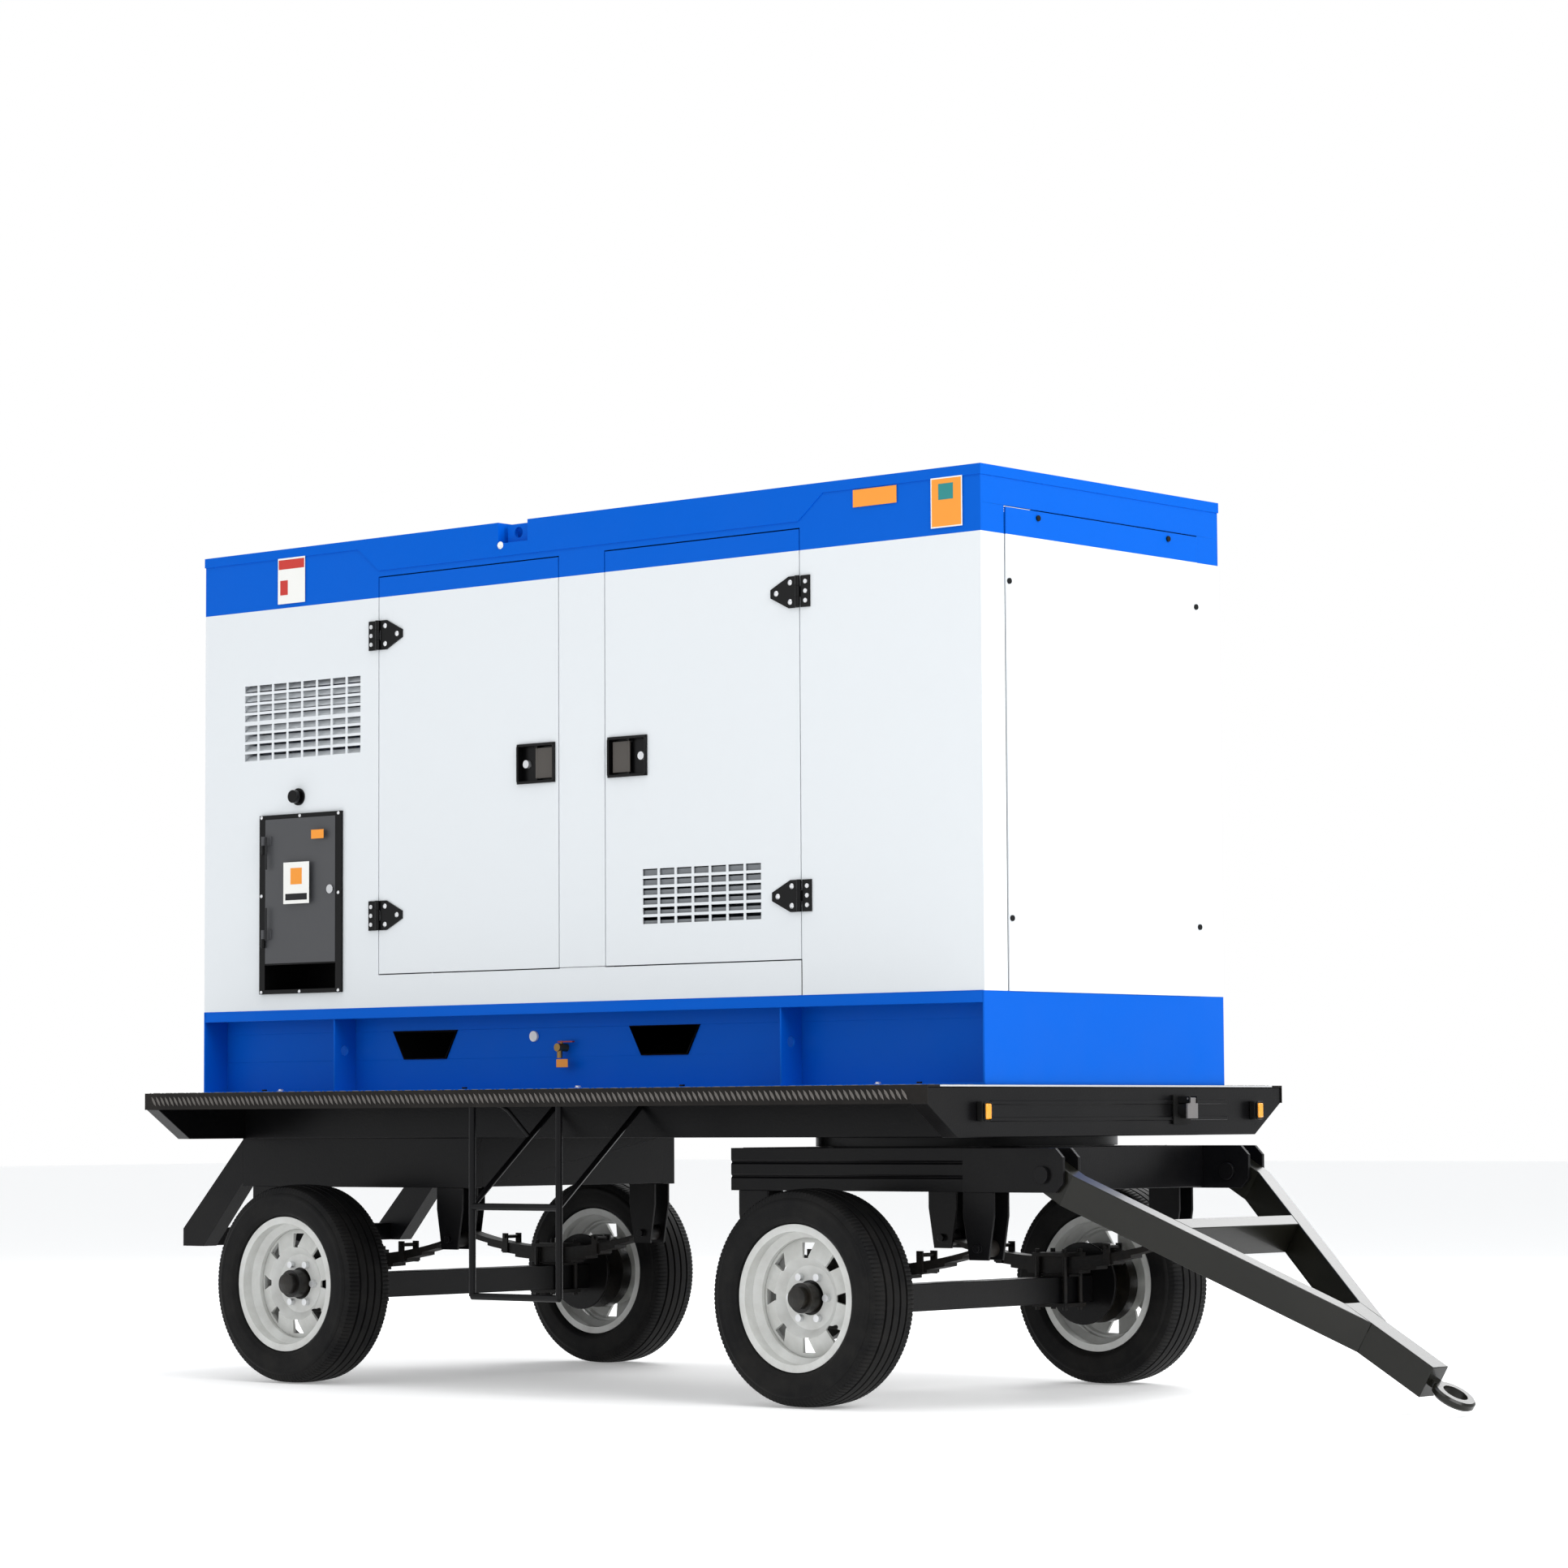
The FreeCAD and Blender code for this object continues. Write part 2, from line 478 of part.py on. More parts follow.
def clamp_set():
    """U-bolts, top plate and bottom plate that hold a spring to its axle, and two rebound clips."""
    low = "-(leaf_count * leaf_t + seat_t + axle_box)"
    half = "clamp_w / 2"
    wide = "(spring_w / 2 + ubolt_r * 3 + 2)"
    pieces = [block("clamp_top", ("-" + half, half), ("-" + wide, wide), 
                    ("(clamp_w / 2)^2 / (2 * leaf_round) + face_gap", "clamp_t + 2")),
              block("clamp_low", ("-" + half, half), ("-" + wide, wide), (low + " - clamp_t", low)),
              block("spring_seat", ("-" + half, half), ("-spring_w / 2", "spring_w / 2"),
                    ("-(leaf_count * leaf_t + seat_t)", "-(leaf_count * leaf_t + 0.6)"))]
    for x_side in (-1, 1):
        for y_side in (-1, 1):
            start = ("%d * (clamp_w / 2 - ubolt_r - 3)" % x_side,
                     "%d * (spring_w / 2 + ubolt_r + 2)" % y_side, low + " - clamp_t - 10")
            pieces.append(rod("ubolt_leg", "Z", start, "ubolt_r",
                              "leaf_count * leaf_t + seat_t + axle_box + 2 * clamp_t + 24"))
    solid = fuse("axle_clamp", pieces)
    clips = []
    for x_side in (-1, 1):
        low_x = "%d * clip_at - clip_w / 2" % x_side
        high_x = "%d * clip_at + clip_w / 2" % x_side
        low_z = "-(3 * leaf_t) + 4"
        clips_part = []
        for y_side in (-1, 1):
            span = sided(y_side, "spring_w / 2 + face_gap", "spring_w / 2 + face_gap + clip_t")
            clips_part.append(block("clip_leg", (low_x, high_x), span, (low_z, "clip_rise + 12")))
        bolt = ("%d * clip_at" % x_side, "-(spring_w / 2 + clip_t + 6)", "clip_rise")
        clips_part.append(rod("clip_bolt", "Y", bolt, "6", "spring_w + 2 * clip_t + 12"))
        clips.append(fuse("rebound_clip", clips_part))
    return [solid] + clips


def hanger():
    """Two cheeks and a pin that carry one spring eye; the top meets the frame rail."""
    top = "(%s - %s)" % (FRAME_LOW, LEAF_TOP)
    pin_z = "eye_camber - leaf_t / 2"
    low = "(%s - hanger_under)" % pin_z
    points = [("-hanger_top_half", top), ("-hanger_top_half", "%s - 70" % top),
              ("-hanger_low_half", low), ("hanger_low_half", low),
              ("hanger_top_half", "%s - 70" % top), ("hanger_top_half", top)]
    cheeks = []
    for side in (-1, 1):
        middle = "%d * (spring_w / 2 + face_gap + hanger_t / 2)" % side
        cheeks.append(prism("hanger_cheek", "XZ", points, middle, "hanger_t"))
    start = ("0", "-(spring_w / 2 + hanger_t + 14)", pin_z)
    pin = rod("spring_pin", "Y", start, "spring_pin_r", "spring_w + 2 * hanger_t + 28")
    return cheeks + [pin]


PACK = leaf_pack()
CLAMP = clamp_set()
HANGER_CHEEKS = hanger()
HANGER = fuse("spring_hanger", HANGER_CHEEKS)


def springs(label, x):
    pieces = []
    for name, side in SIDES:
        at = (x, "%d * spring_y" % side, LEAF_TOP)
        for item in [PACK] + CLAMP:
            pieces.append(copy_at("%s_%s" % (label, name), item, at))
    return node(label, pieces)


def hangers(x):
    pieces = []
    for name, side in SIDES:
        for end in (-1, 1):
            at = ("%s + %d * leaf_half" % (x, end), "%d * spring_y" % side, LEAF_TOP)
            pieces.append(copy_at("hanger_" + name, HANGER, at))
    return pieces


axle("front_axle", FRONT_AXLE_X)
axle("rear_axle", REAR_AXLE_X)
springs("front_leaf_springs", FRONT_AXLE_X)
springs("rear_leaf_springs", REAR_AXLE_X)


# ---- steering bogie, turntable and drawbar ------------------------------------------------------
def grooved_rail(name, side, x):
    """A rolled rail with two grooves along its outer face."""
    out = "rail_out"
    low = FRAME_LOW
    points = [("%d * (%s - rail_w)" % (side, out), low), ("%d * %s" % (side, out), low)]
    for share in ("bogie_rail_h / 3", "2 * bogie_rail_h / 3"):
        middle = "(%s + %s)" % (low, share)
        points.append(("%d * %s" % (side, out), "%s - groove_h / 2" % middle))
        points.append(("%d * (%s - groove_in)" % (side, out), middle))
        points.append(("%d * %s" % (side, out), "%s + groove_h / 2" % middle))
    points += [("%d * %s" % (side, out), BOGIE_TOP), ("%d * (%s - rail_w)" % (side, out), BOGIE_TOP)]
    middle = "((%s) + (%s)) / 2" % (x[0], x[1])
    return prism(name, "YZ", points, middle, "(%s) - (%s)" % (x[1], x[0]))


def bogie_frame():
    pieces = []
    inner = "(rail_out - rail_w)"
    for name, side in SIDES:
        pieces.append(grooved_rail("bogie_rail_" + name, side, (BOGIE_END, "-bogie_ear_start")))
        ear_points = [("-bogie_ear_start", FRAME_LOW), ("bogie_front - ear_round", FRAME_LOW),
                      ("bogie_front", "%s + ear_round" % FRAME_LOW),
                      ("bogie_front", "%s - ear_round" % BOGIE_TOP),
                      ("bogie_front - ear_round", BOGIE_TOP), ("-bogie_ear_start", BOGIE_TOP)]
        hole_start = "-(rail_out + 4 * ear_t)" if side < 0 else "rail_out - rail_w - 4 * ear_t"
        hole = rod("ear_hole_" + name, "Y", ("pivot_x", hole_start, PIVOT_Z), "pivot_r",
                   "rail_w + 8 * ear_t")
        for kind, near in (("outer", "rail_out + arm_gap"), ("inner", "rail_out - rail_w - arm_gap - ear_t")):
            middle = "%d * (%s + ear_t / 2)" % (side, near)
            pieces.append(cut("ear_%s_%s" % (kind, name),
                              prism("ear_plate", "XZ", ear_points, middle, "ear_t"), hole))
        pieces.append(block("ear_root_" + name, ("-bogie_ear_start - ear_t", "-bogie_ear_start"),
                            sided(side, "rail_out", "rail_out + arm_gap + ear_t"),
                            (FRAME_LOW, BOGIE_TOP)))
        pieces.append(pivot_bolt(name, side))
    stations = (BOGIE_END, BOGIE_END + " + bogie_cross_1", BOGIE_END + " + bogie_cross_2",
                "-bogie_ear_start - cross_w", "-bogie_nose_back")
    for index, start in enumerate(stations):
        end = "%s + cross_w" % start
        reach = inner
        if index == len(stations) - 1:
            reach = "(rail_out - rail_w - arm_gap - ear_t)"
        pieces.append(block("bogie_cross_%d" % index, (start, end), ("-" + reach, reach),
                            (FRAME_LOW + " + 3", BOGIE_TOP)))
    return node("bogie_frame", pieces + hangers(FRONT_AXLE_X))


def pivot_bolt(name, side):
    """Shank through both ears, with a head outside and a nut inside."""
    inner_face = "(rail_out - rail_w - arm_gap - ear_t)"
    outer_face = "(rail_out + arm_gap + ear_t)"
    low, high = sided(side, inner_face, outer_face)
    shank = rod("pivot_shank_" + name, "Y", ("pivot_x", low, PIVOT_Z), "pivot_r",
                "rail_w + 2 * arm_gap + 2 * ear_t")
    heads = []
    for face in (low + " - bolt_head_t", high):
        heads.append(rod("pivot_head_" + name, "Y", ("pivot_x", face, PIVOT_Z), "bolt_head_r",
                         "bolt_head_t"))
    return fuse("pivot_bolt_" + name, [shank] + heads)


bogie_frame()


def ring(name, low, high, outer_r, inner_r):
    outer = rod(name + "_outer", "Z", (FRONT_AXLE_X, "0", low), outer_r, "(%s) - (%s)" % (high, low))
    inner = rod(name + "_inner", "Z", (FRONT_AXLE_X, "0", low), inner_r, "(%s) - (%s)" % (high, low))
    return cut(name, outer, inner)


SLEW_MID = "(%s + slew_low_t + face_gap)" % BOGIE_TOP
node("lower_slew_ring", [ring("slew_low", BOGIE_TOP, "%s + slew_low_t" % BOGIE_TOP,
                              "slew_r - slew_skirt_t - face_gap", "slew_in_r")])
node("upper_slew_ring", [fuse("slew_high", [
    ring("slew_top", SLEW_MID, DECK_LOW, "slew_r", "slew_in_r"),
    ring("slew_skirt", "%s - slew_skirt_h" % SLEW_MID, SLEW_MID, "slew_r", "slew_r - slew_skirt_t")])])


def drawbar():
    """A-frame about the pivot axis, drawn level: ears, two arms, tongue and cross brace."""
    half = ("-arm_h / 2", "arm_h / 2")
    pieces = []
    fall = "((rail_out - tongue_half) / (arm_meet - ear_ahead))"
    inner = "(rail_out - arm_w)"
    end = "(ear_ahead + (%s - tongue_half) / %s)" % (inner, fall)
    for name, side in SIDES:
        ear = block("arm_ear_" + name, ("-ear_back", "ear_ahead"), sided(side, inner, "rail_out"), half)
        start = "-(rail_out + 1)" if side < 0 else "rail_out - arm_w - 1"
        bore = rod("arm_bore_" + name, "Y", ("0", start, "0"), "pivot_r + run_gap", "arm_w + 2")
        pieces.append(cut("drilled_ear_" + name, ear, bore))
        points = [("ear_ahead", "%d * rail_out" % side), ("arm_meet", "%d * tongue_half" % side),
                  (end, "%d * tongue_half" % side), ("ear_ahead", "%d * %s" % (side, inner))]
        pieces.append(prism("arm_" + name, "XY", points, "0", "arm_h"))
    pieces.append(block("tongue", (end, "tongue_end"), ("-tongue_half", "tongue_half"), half))
    near = "(%s - %s * (brace_at - ear_ahead))" % (inner, fall)
    far = "(%s - %s * (brace_at + brace_w - ear_ahead))" % (inner, fall)
    brace = [("brace_at", "-" + near), ("brace_at + brace_w", "-" + far), ("brace_at + brace_w", far),
             ("brace_at", near)]
    pieces.append(prism("cross_brace", "XY", brace, "0", "arm_h"))
    return pieces


def towing_eye():
    """Flat forged ring with chamfered edges on a short shank."""
    body = doc.addObject("PartDesign::Body", "eye_ring")
    sketch = body.newObject("Sketcher::SketchObject", "eye_sketch")
    sketch.AttachmentSupport = [(origin_plane(body, "XY_Plane"), "")]
    sketch.MapMode = "FlatFace"
    for index, radius in enumerate(("eye_r", "eye_hole_r")):
        middle = FreeCAD.Vector(number("eye_at"), 0, 0)
        sketch.addGeometry(Part.Circle(middle, FreeCAD.Vector(0, 0, 1), number(radius)), False)
        sketch.addConstraint(Sketcher.Constraint("PointOnObject", index, 3, -1))
        for kind, formula in (("DistanceX", "eye_at"), ("Radius", radius)):
            if kind == "Radius":
                rule = Sketcher.Constraint(kind, index, number(formula))
            else:
                rule = Sketcher.Constraint(kind, -1, 1, index, 3, number(formula))
            at = sketch.addConstraint(rule)
            bind(sketch, "Constraints[%d]" % at, formula)
    pad = body.newObject("PartDesign::Pad", "eye_pad")
    pad.Profile = sketch
    pad.Midplane = True
    bind(pad, "Length", "eye_t")
    doc.recompute()
    rims = []
    for index, edge in enumerate(pad.Shape.Edges, start=1):
        curve = edge.Curve
        if hasattr(curve, "Radius") and abs(curve.Radius - number("eye_r")) < 0.01 and edge.Closed:
            rims.append("Edge%d" % index)
    chamfer = body.newObject("PartDesign::Chamfer", "eye_edges")
    chamfer.Base = (pad, rims)
    bind(chamfer, "Size", "eye_edge")
    body.Tip = chamfer
    shank = block("eye_shank", ("tongue_end", "eye_at - eye_hole_r - 8"), ("-shank_half", "shank_half"),
                  ("-eye_t / 2 + 2", "eye_t / 2 - 2"))
    return fuse("eye", [body, shank])


TILTED = FreeCAD.Rotation(FreeCAD.Vector(0, 1, 0), number("drawbar_tilt"))
for label, pieces in (("drawbar_frame", drawbar()), ("towing_eye", [towing_eye()])):
    item = node(label, pieces, ("pivot_x", "0", PIVOT_Z), TILTED)
    bind(item, "Placement.Rotation.Angle", TILT)


# ---- trailer deck, subframe and bumper ----------------------------------------------------------
DECK_REAR = "(-canopy_length + deck_rear_in)"
FASCIA_LOW = "(%s - fascia_h)" % DECK_TOP
DECK_UNDER = "(%s - deck_t)" % DECK_TOP


def deck_plate():
    pieces = [block("deck_sheet", (DECK_REAR, "deck_front"), ("-deck_half", "deck_half"),
                    (DECK_UNDER, DECK_TOP))]
    for name, side in SIDES:
        pieces.append(block("deck_fascia_" + name, (DECK_REAR, "deck_front"),
                            sided(side, "deck_half - fascia_t", "deck_half"), (FASCIA_LOW, DECK_UNDER)))
    return node("deck_plate", pieces)


def end_beam(name, x, rib_x):
    """Trapezoid beam across the end of the deck, ribbed on its outer face."""
    inner = "(deck_half - fascia_t)"
    low = "(deck_half - bevel_in)"
    points = [("-" + inner, FASCIA_LOW), ("-" + low, DECK_LOW), (low, DECK_LOW), (inner, FASCIA_LOW),
              (inner, DECK_UNDER), ("-" + inner, DECK_UNDER)]
    middle = "(%s + %s) / 2" % x
    pieces = [prism(name, "YZ", points, middle, "end_beam_w")]
    for share in (0.3, 0.62):
        low_z = "(%s + deck_h * %s)" % (DECK_LOW, share)
        pieces.append(block(name + "_rib", rib_x, ("-rib_half", "rib_half"),
                            (low_z, low_z + " + rib_h")))
    return pieces


def deck_frame():
    pieces = end_beam("front_beam", ("(deck_front - rib_t)", "(deck_front - rib_t - end_beam_w)"),
                      ("deck_front - rib_t", "deck_front"))
    pieces += end_beam("rear_beam", ("(%s + rib_t)" % DECK_REAR, "(%s + rib_t + end_beam_w)" % DECK_REAR),
                       (DECK_REAR, "%s + rib_t" % DECK_REAR))
    start = "(%s + rib_t + end_beam_w)" % DECK_REAR
    stop = "(deck_front - rib_t - end_beam_w)"
    for name, side in SIDES:
        pieces.append(block("deck_rail_" + name, (start, stop), sided(side, "rail_out - rail_w", "rail_out"),
                            (DECK_LOW, DECK_UNDER)))
    count = int(number("outrigger_count"))
    for index in range(count):
        middle = "(%s + (%s - %s) * %d / %d)" % (start, stop, start, index + 1, count + 1)
        x = ("%s - outrigger_w / 2" % middle, "%s + outrigger_w / 2" % middle)
        pieces.append(block("deck_cross_%d" % index, x, ("-(rail_out - rail_w)", "rail_out - rail_w"),
                            (FASCIA_LOW + " - 30", DECK_UNDER)))
        for name, side in SIDES:
            pieces.append(block("outrigger_" + name, x, sided(side, "rail_out", "deck_half - fascia_t"),
                                (FASCIA_LOW + " + 8", DECK_UNDER)))
    return node("deck_frame", pieces)


def rear_subframe():
    start, stop = REAR_FRAME
    pieces = []
    for name, side in SIDES:
        pieces.append(block("subframe_rail_" + name, (start, stop),
                            sided(side, "rail_out - rail_w", "rail_out"), (FRAME_LOW, DECK_LOW)))
    count = 4
    for index in range(count):
        low_x = "(%s + (%s - %s - cross_w) * %d / %d)" % (start, stop, start, index, count - 1)
        pieces.append(block("subframe_cross_%d" % index, (low_x, low_x + " + cross_w"),
                            ("-(rail_out - rail_w)", "rail_out - rail_w"), (FRAME_LOW + " + 3", DECK_LOW)))
    return node("rear_subframe", pieces + hangers(REAR_AXLE_X))


def rear_bumper():
    """Two legs slope down and back from the subframe to a bar across the bottom."""
    top_x = REAR_FRAME[0]
    low_x = "(-canopy_length - leg_reach)"
    top_z = "(%s - 4)" % DECK_LOW
    pieces = []
    for name, side in SIDES:
        points = [(top_x, top_z), (low_x, "leg_low + leg_bar_h"), (low_x, "leg_low"),
                  ("%s + leg_w" % low_x, "leg_low"), (top_x, "%s - leg_w * 1.4" % top_z)]
        middle = "%d * (rail_out - rail_w / 2)" % side
        pieces.append(prism("bumper_leg_" + name, "XZ", points, middle, "rail_w"))
    pieces.append(block("bumper_bar", (low_x, "%s + cross_w" % low_x),
                        ("-(rail_out - rail_w)", "rail_out - rail_w"), ("leg_low", "leg_low + leg_bar_h")))
    return node("rear_bumper", pieces)


def step_ladder():
    """Round-bar step under the service side, braced to the deck rail."""
    y = "-(deck_half - step_in)"
    rods = []
    for back in ("step_back", "(step_back + step_w)"):
        x = "-%s" % back
        rods.append(rod("step_upright", "Z", (x, y, "step_low"), "step_rod_r", "%s - step_low" % DECK_UNDER))
        top = (x, "-rail_out - 6", "%s - 50" % DECK_UNDER)
        rods.append(slanted_rod("step_brace", (x, y, "step_mid"), top, "step_rod_r * 0.8"))
    for height in ("step_low", "step_mid"):
        rods.append(rod("step_rung", "X", ("-(step_back + step_w)", y, height), "step_rod_r", "step_w"))
    return node("step_ladder", [fuse("step", rods)])


deck_plate()
deck_frame()
rear_subframe()
rear_bumper()
step_ladder()


# ---- lamps and trailer socket on the front beam -------------------------------------------------
def marker_lamps():
    housings = []
    lenses = []
    for y in ("-lamp_right_y", "lamp_left_y"):
        low = "(%s - lamp_drop - lamp_h / 2)" % DECK_TOP
        high = "(%s - lamp_drop + lamp_h / 2)" % DECK_TOP
        wide = ("%s - lamp_w / 2" % y, "%s + lamp_w / 2" % y)
        housings.append(block("lamp_case", ("deck_front - rib_t", "deck_front + lamp_deep"),
                              (wide[0] + " - lamp_frame", wide[1] + " + lamp_frame"),
                              (low + " - lamp_frame", high + " + lamp_frame")))
        lenses.append(block("lamp_lens", ("deck_front + lamp_deep", "deck_front + lamp_deep + lens_t"),
                            wide, (low, high)))
    node("marker_lamp_cases", housings)
    node("marker_lamp_lenses", lenses)


def socket_holder():
    """Round trailer socket on a plate, with ears for the spring lid."""
    z = "(%s - socket_drop)" % DECK_TOP
    front = "(deck_front + 5)"
    plate = block("socket_plate", ("deck_front", front),
                  ("socket_y - socket_plate / 2", "socket_y + socket_plate / 2"),
                  (z + " - socket_plate / 2", z + " + socket_plate / 2"))
    can = rod("socket_can", "X", (front, "socket_y", z), "socket_r", "socket_long")
    cavity = rod("socket_cavity", "X", (front + " + 6", "socket_y", z), "socket_r - 5", "socket_long")
    hinge_z = "(%s + socket_r + lid_pin_r + 4)" % z
    pieces = [cut("socket_body", fuse("socket_shape", [plate, can]), cavity)]
    for side in (-1, 1):
        y = "socket_y + %d * 20" % side
        ear = block("lid_ear", (front, front + " + socket_long + lid_t + 4"), (y + " - 3", y + " + 3"),
                    (z + " + socket_r - 6", hinge_z + " + 7"))
        bore = rod("lid_ear_bore", "Y", ("%s + socket_long + 3" % front, y + " - 4", hinge_z),
                   "lid_pin_r + run_gap", "8")
        pieces.append(cut("bored_ear", ear, bore))
    node("socket_holder", pieces)
    lid = block("lid_plate", (front + " + socket_long + face_gap", front + " + socket_long + lid_t"),
                ("socket_y - socket_r", "socket_y + socket_r"), (z + " - socket_r", z + " + socket_r - 8"))
    tab = block("lid_tab", (front + " + socket_long + face_gap", front + " + socket_long + lid_t"),
                ("socket_y - 16", "socket_y + 16"), (z + " + socket_r - 8", hinge_z))
    pin = rod("lid_pin", "Y", ("%s + socket_long + 3" % front, "socket_y - 23", hinge_z), "lid_pin_r", "46")
    node("socket_lid", [fuse("lid", [lid, tab, pin])])


marker_lamps()
socket_holder()


# ---- blue skid base -----------------------------------------------------------------------------
def pocket_points(back, grow):
    x = "(-%s)" % back
    top = "(%s + pocket_high)" % DECK_TOP
    low = "(%s + pocket_low)" % DECK_TOP
    return [("%s - pocket_top_half - %s" % (x, grow), top), ("%s - pocket_low_half - %s" % (x, grow), low),
            ("%s + pocket_low_half + %s" % (x, grow), low), ("%s + pocket_top_half + %s" % (x, grow), top)]


def skid_base():
    low = DECK_TOP
    high = BASE_TOP
    flange = "(%s - flange_h)" % BASE_TOP
    top = "(%s + pocket_high)" % DECK_TOP
    bottom = "(%s + pocket_low)" % DECK_TOP
    foot = "(%s + base_t)" % low
    inner = "(web_y - base_t)"
    ends = ("(-canopy_length + base_t)", "(-base_t)")
    first = pocket_points("pocket_1_back", "0")
    second = pocket_points("pocket_2_back", "0")
    spans = [[(ends[0], top), (ends[0], bottom), first[1], first[0]],
             [first[3], first[2], second[1], second[0]],
             [second[3], second[2], (ends[1], bottom), (ends[1], top)]]
    pieces = []
    for name, side in SIDES:
        web = sided(side, inner, "web_y")
        pieces.append(block("web_high_" + name, ends, web, (top, "%s - base_t" % high)))
        pieces.append(block("web_low_" + name, ends, web, (foot, bottom)))
        middle = "%d * (web_y - base_t / 2)" % side
        for index, points in enumerate(spans):
            pieces.append(prism("web_%s_%d" % (name, index), "XZ", points, middle, "base_t"))
        outer = sided(side, "web_y", "base_half")
        edge = sided(side, "base_half - base_t", "base_half")
        pieces.append(block("flange_top_" + name, ends, outer, ("%s - base_t" % high, high)))
        pieces.append(block("flange_lip_" + name, ends, edge, (flange, "%s - base_t" % high)))
        pieces.append(block("foot_flange_" + name, ends, sided(side, inner, "base_half"), (low, foot)))
        for index, x in enumerate(("-stiff_front", "(-canopy_length + stiff_rear_in)")):
            plate = block("stiffener_%s_%d" % (name, index), (x + " - base_t", x),
                          sided(side, "web_y", "base_half - base_t"), (foot, "%s - base_t" % high))
            hole = rod("stiffener_hole", "X", (x + " - 2 * base_t", "%d * (web_y + base_half) / 2" % side,
                                               "(%s + %s) / 2" % (low, high)), "stiff_hole_r", "4 * base_t")
            pieces.append(cut("pierced_%s_%d" % (name, index), plate, hole))
    for index, x in enumerate((("-canopy_length", ends[0]), (ends[1], "0"))):
        pieces.append(block("end_plate_%d" % index, x, ("-base_half", "base_half"), (low, high)))
    pieces.append(block("base_floor", ends, ("-" + inner, inner), ("%s - base_t" % high, high)))
    return node("skid_base", pieces)


def fork_tunnels():
    """Trapezoid tubes right across the skid, with a short lip outside each web."""
    pieces = []
    for index, back in enumerate(("pocket_1_back", "pocket_2_back")):
        solid = {}
        for kind, grow in (("skin", "0 - face_gap"), ("hollow", "0 - face_gap - pocket_wall")):
            points = pocket_points(back, "(%s)" % grow)
            shrink = "face_gap" if kind == "skin" else "(face_gap + pocket_wall)"
            points = [(x, "%s %s %s" % (z, sign, shrink)) for (x, z), sign in zip(points, "-++-")]
            long = "2 * (web_y + pocket_lip)" if kind == "skin" else "2 * (web_y + pocket_lip) + 4"
            solid[kind] = prism("tunnel_%s_%d" % (kind, index), "XZ", points, "0", long)
        pieces.append(cut("tunnel_%d" % index, solid["skin"], solid["hollow"]))
    return node("fork_tunnels", pieces)


def fuel_parts():
    tank = block("tank_box", ("-tank_back", "-tank_front"), ("-tank_half", "tank_half"),
                 ("%s + tank_low" % DECK_TOP, "%s + tank_high" % DECK_TOP))
    neck = rod("tank_neck", "Y", ("-valve_back", "-(web_y - base_t)", "%s + valve_up" % DECK_TOP),
               "valve_r", "web_y - base_t - tank_half")
    feet = []
    for x in ("-tank_back + 30", "-tank_front - 90"):
        feet.append(block("tank_foot", (x, x + " + 60"), ("-tank_half", "tank_half"),
                          (DECK_TOP, "%s + tank_low" % DECK_TOP)))
    node("fuel_tank", [fuse("tank", [tank, neck])] + feet)
    z = "(%s + valve_up)" % DECK_TOP
    body = rod("valve_body", "Y", ("-valve_back", "-(web_y + valve_long)", z), "valve_r", "valve_long")
    nozzle = rod("valve_nozzle", "Z", ("-valve_back", "-(web_y + valve_long - valve_r)", z + " - 34"),
                 "valve_r * 0.7", "34")
    stem = rod("valve_stem", "Z", ("-valve_back", "-(web_y + valve_long / 2)", z), "stem_r", "valve_r + 8")
    plug = rod("inspection_plug", "Y", ("-plug_back", "-(web_y + 8)", "%s + plug_up" % DECK_TOP),
               "plug_r", "8")
    node("drain_valve", [fuse("valve", [body, nozzle, stem]), plug])
    lever_z = "(%s + valve_r + 3)" % z
    y = "-(web_y + valve_long / 2)"
    arm = block("lever_arm", ("-valve_back - lever_w", "-valve_back + lever_long"),
                (y + " - lever_w / 2", y + " + lever_w / 2"), (lever_z, lever_z + " + lever_t"))
    bore = rod("lever_bore", "Z", ("-valve_back", y, lever_z + " - 1"), "stem_r + run_gap", "lever_t + 2")
    node("drain_lever", [cut("lever", arm, bore)])


skid_base()
fork_tunnels()
fuel_parts()


# ---- canopy -------------------------------------------------------------------------------------
ROOF_TOP = "(%s + roof_t)" % CANOPY_TOP
SKIRT_LOW = "(%s - skirt_drop)" % ROOF_TOP
LIP_LOW = "(%s - roof_lip)" % ROOF_TOP
LIFT_FLOOR = "(%s - lift_drop)" % ROOF_TOP
SKIN = ("panel_half - panel_t", "panel_half")
LIFT_X = ("(-lift_back - lift_w / 2)", "(-lift_back + lift_w / 2)")
OUTLET_X = ("(-outlet_back)", "(-outlet_back + outlet_w)")
BOX = (("(-canopy_length + box_in)", "(-canopy_length + box_in + box_w)"),
       ("(%s + box_up)" % BASE_TOP, "(%s + box_up + box_h)" % BASE_TOP))
STOP_AT = ("(-canopy_length + stop_in)", "(%s + stop_over)" % BOX[1][1])
VENT = (("(-canopy_length + vent_in)", "(-canopy_length + vent_in + vent_w)"),
        ("(%s + vent_over)" % STOP_AT[1], "(%s + vent_over + vent_h)" % STOP_AT[1]))
CABLE_LOW = "(%s + cable_low)" % BOX[1][0]
CABLE_HIGH = "(%s + cable_low + cable_h)" % BOX[1][0]


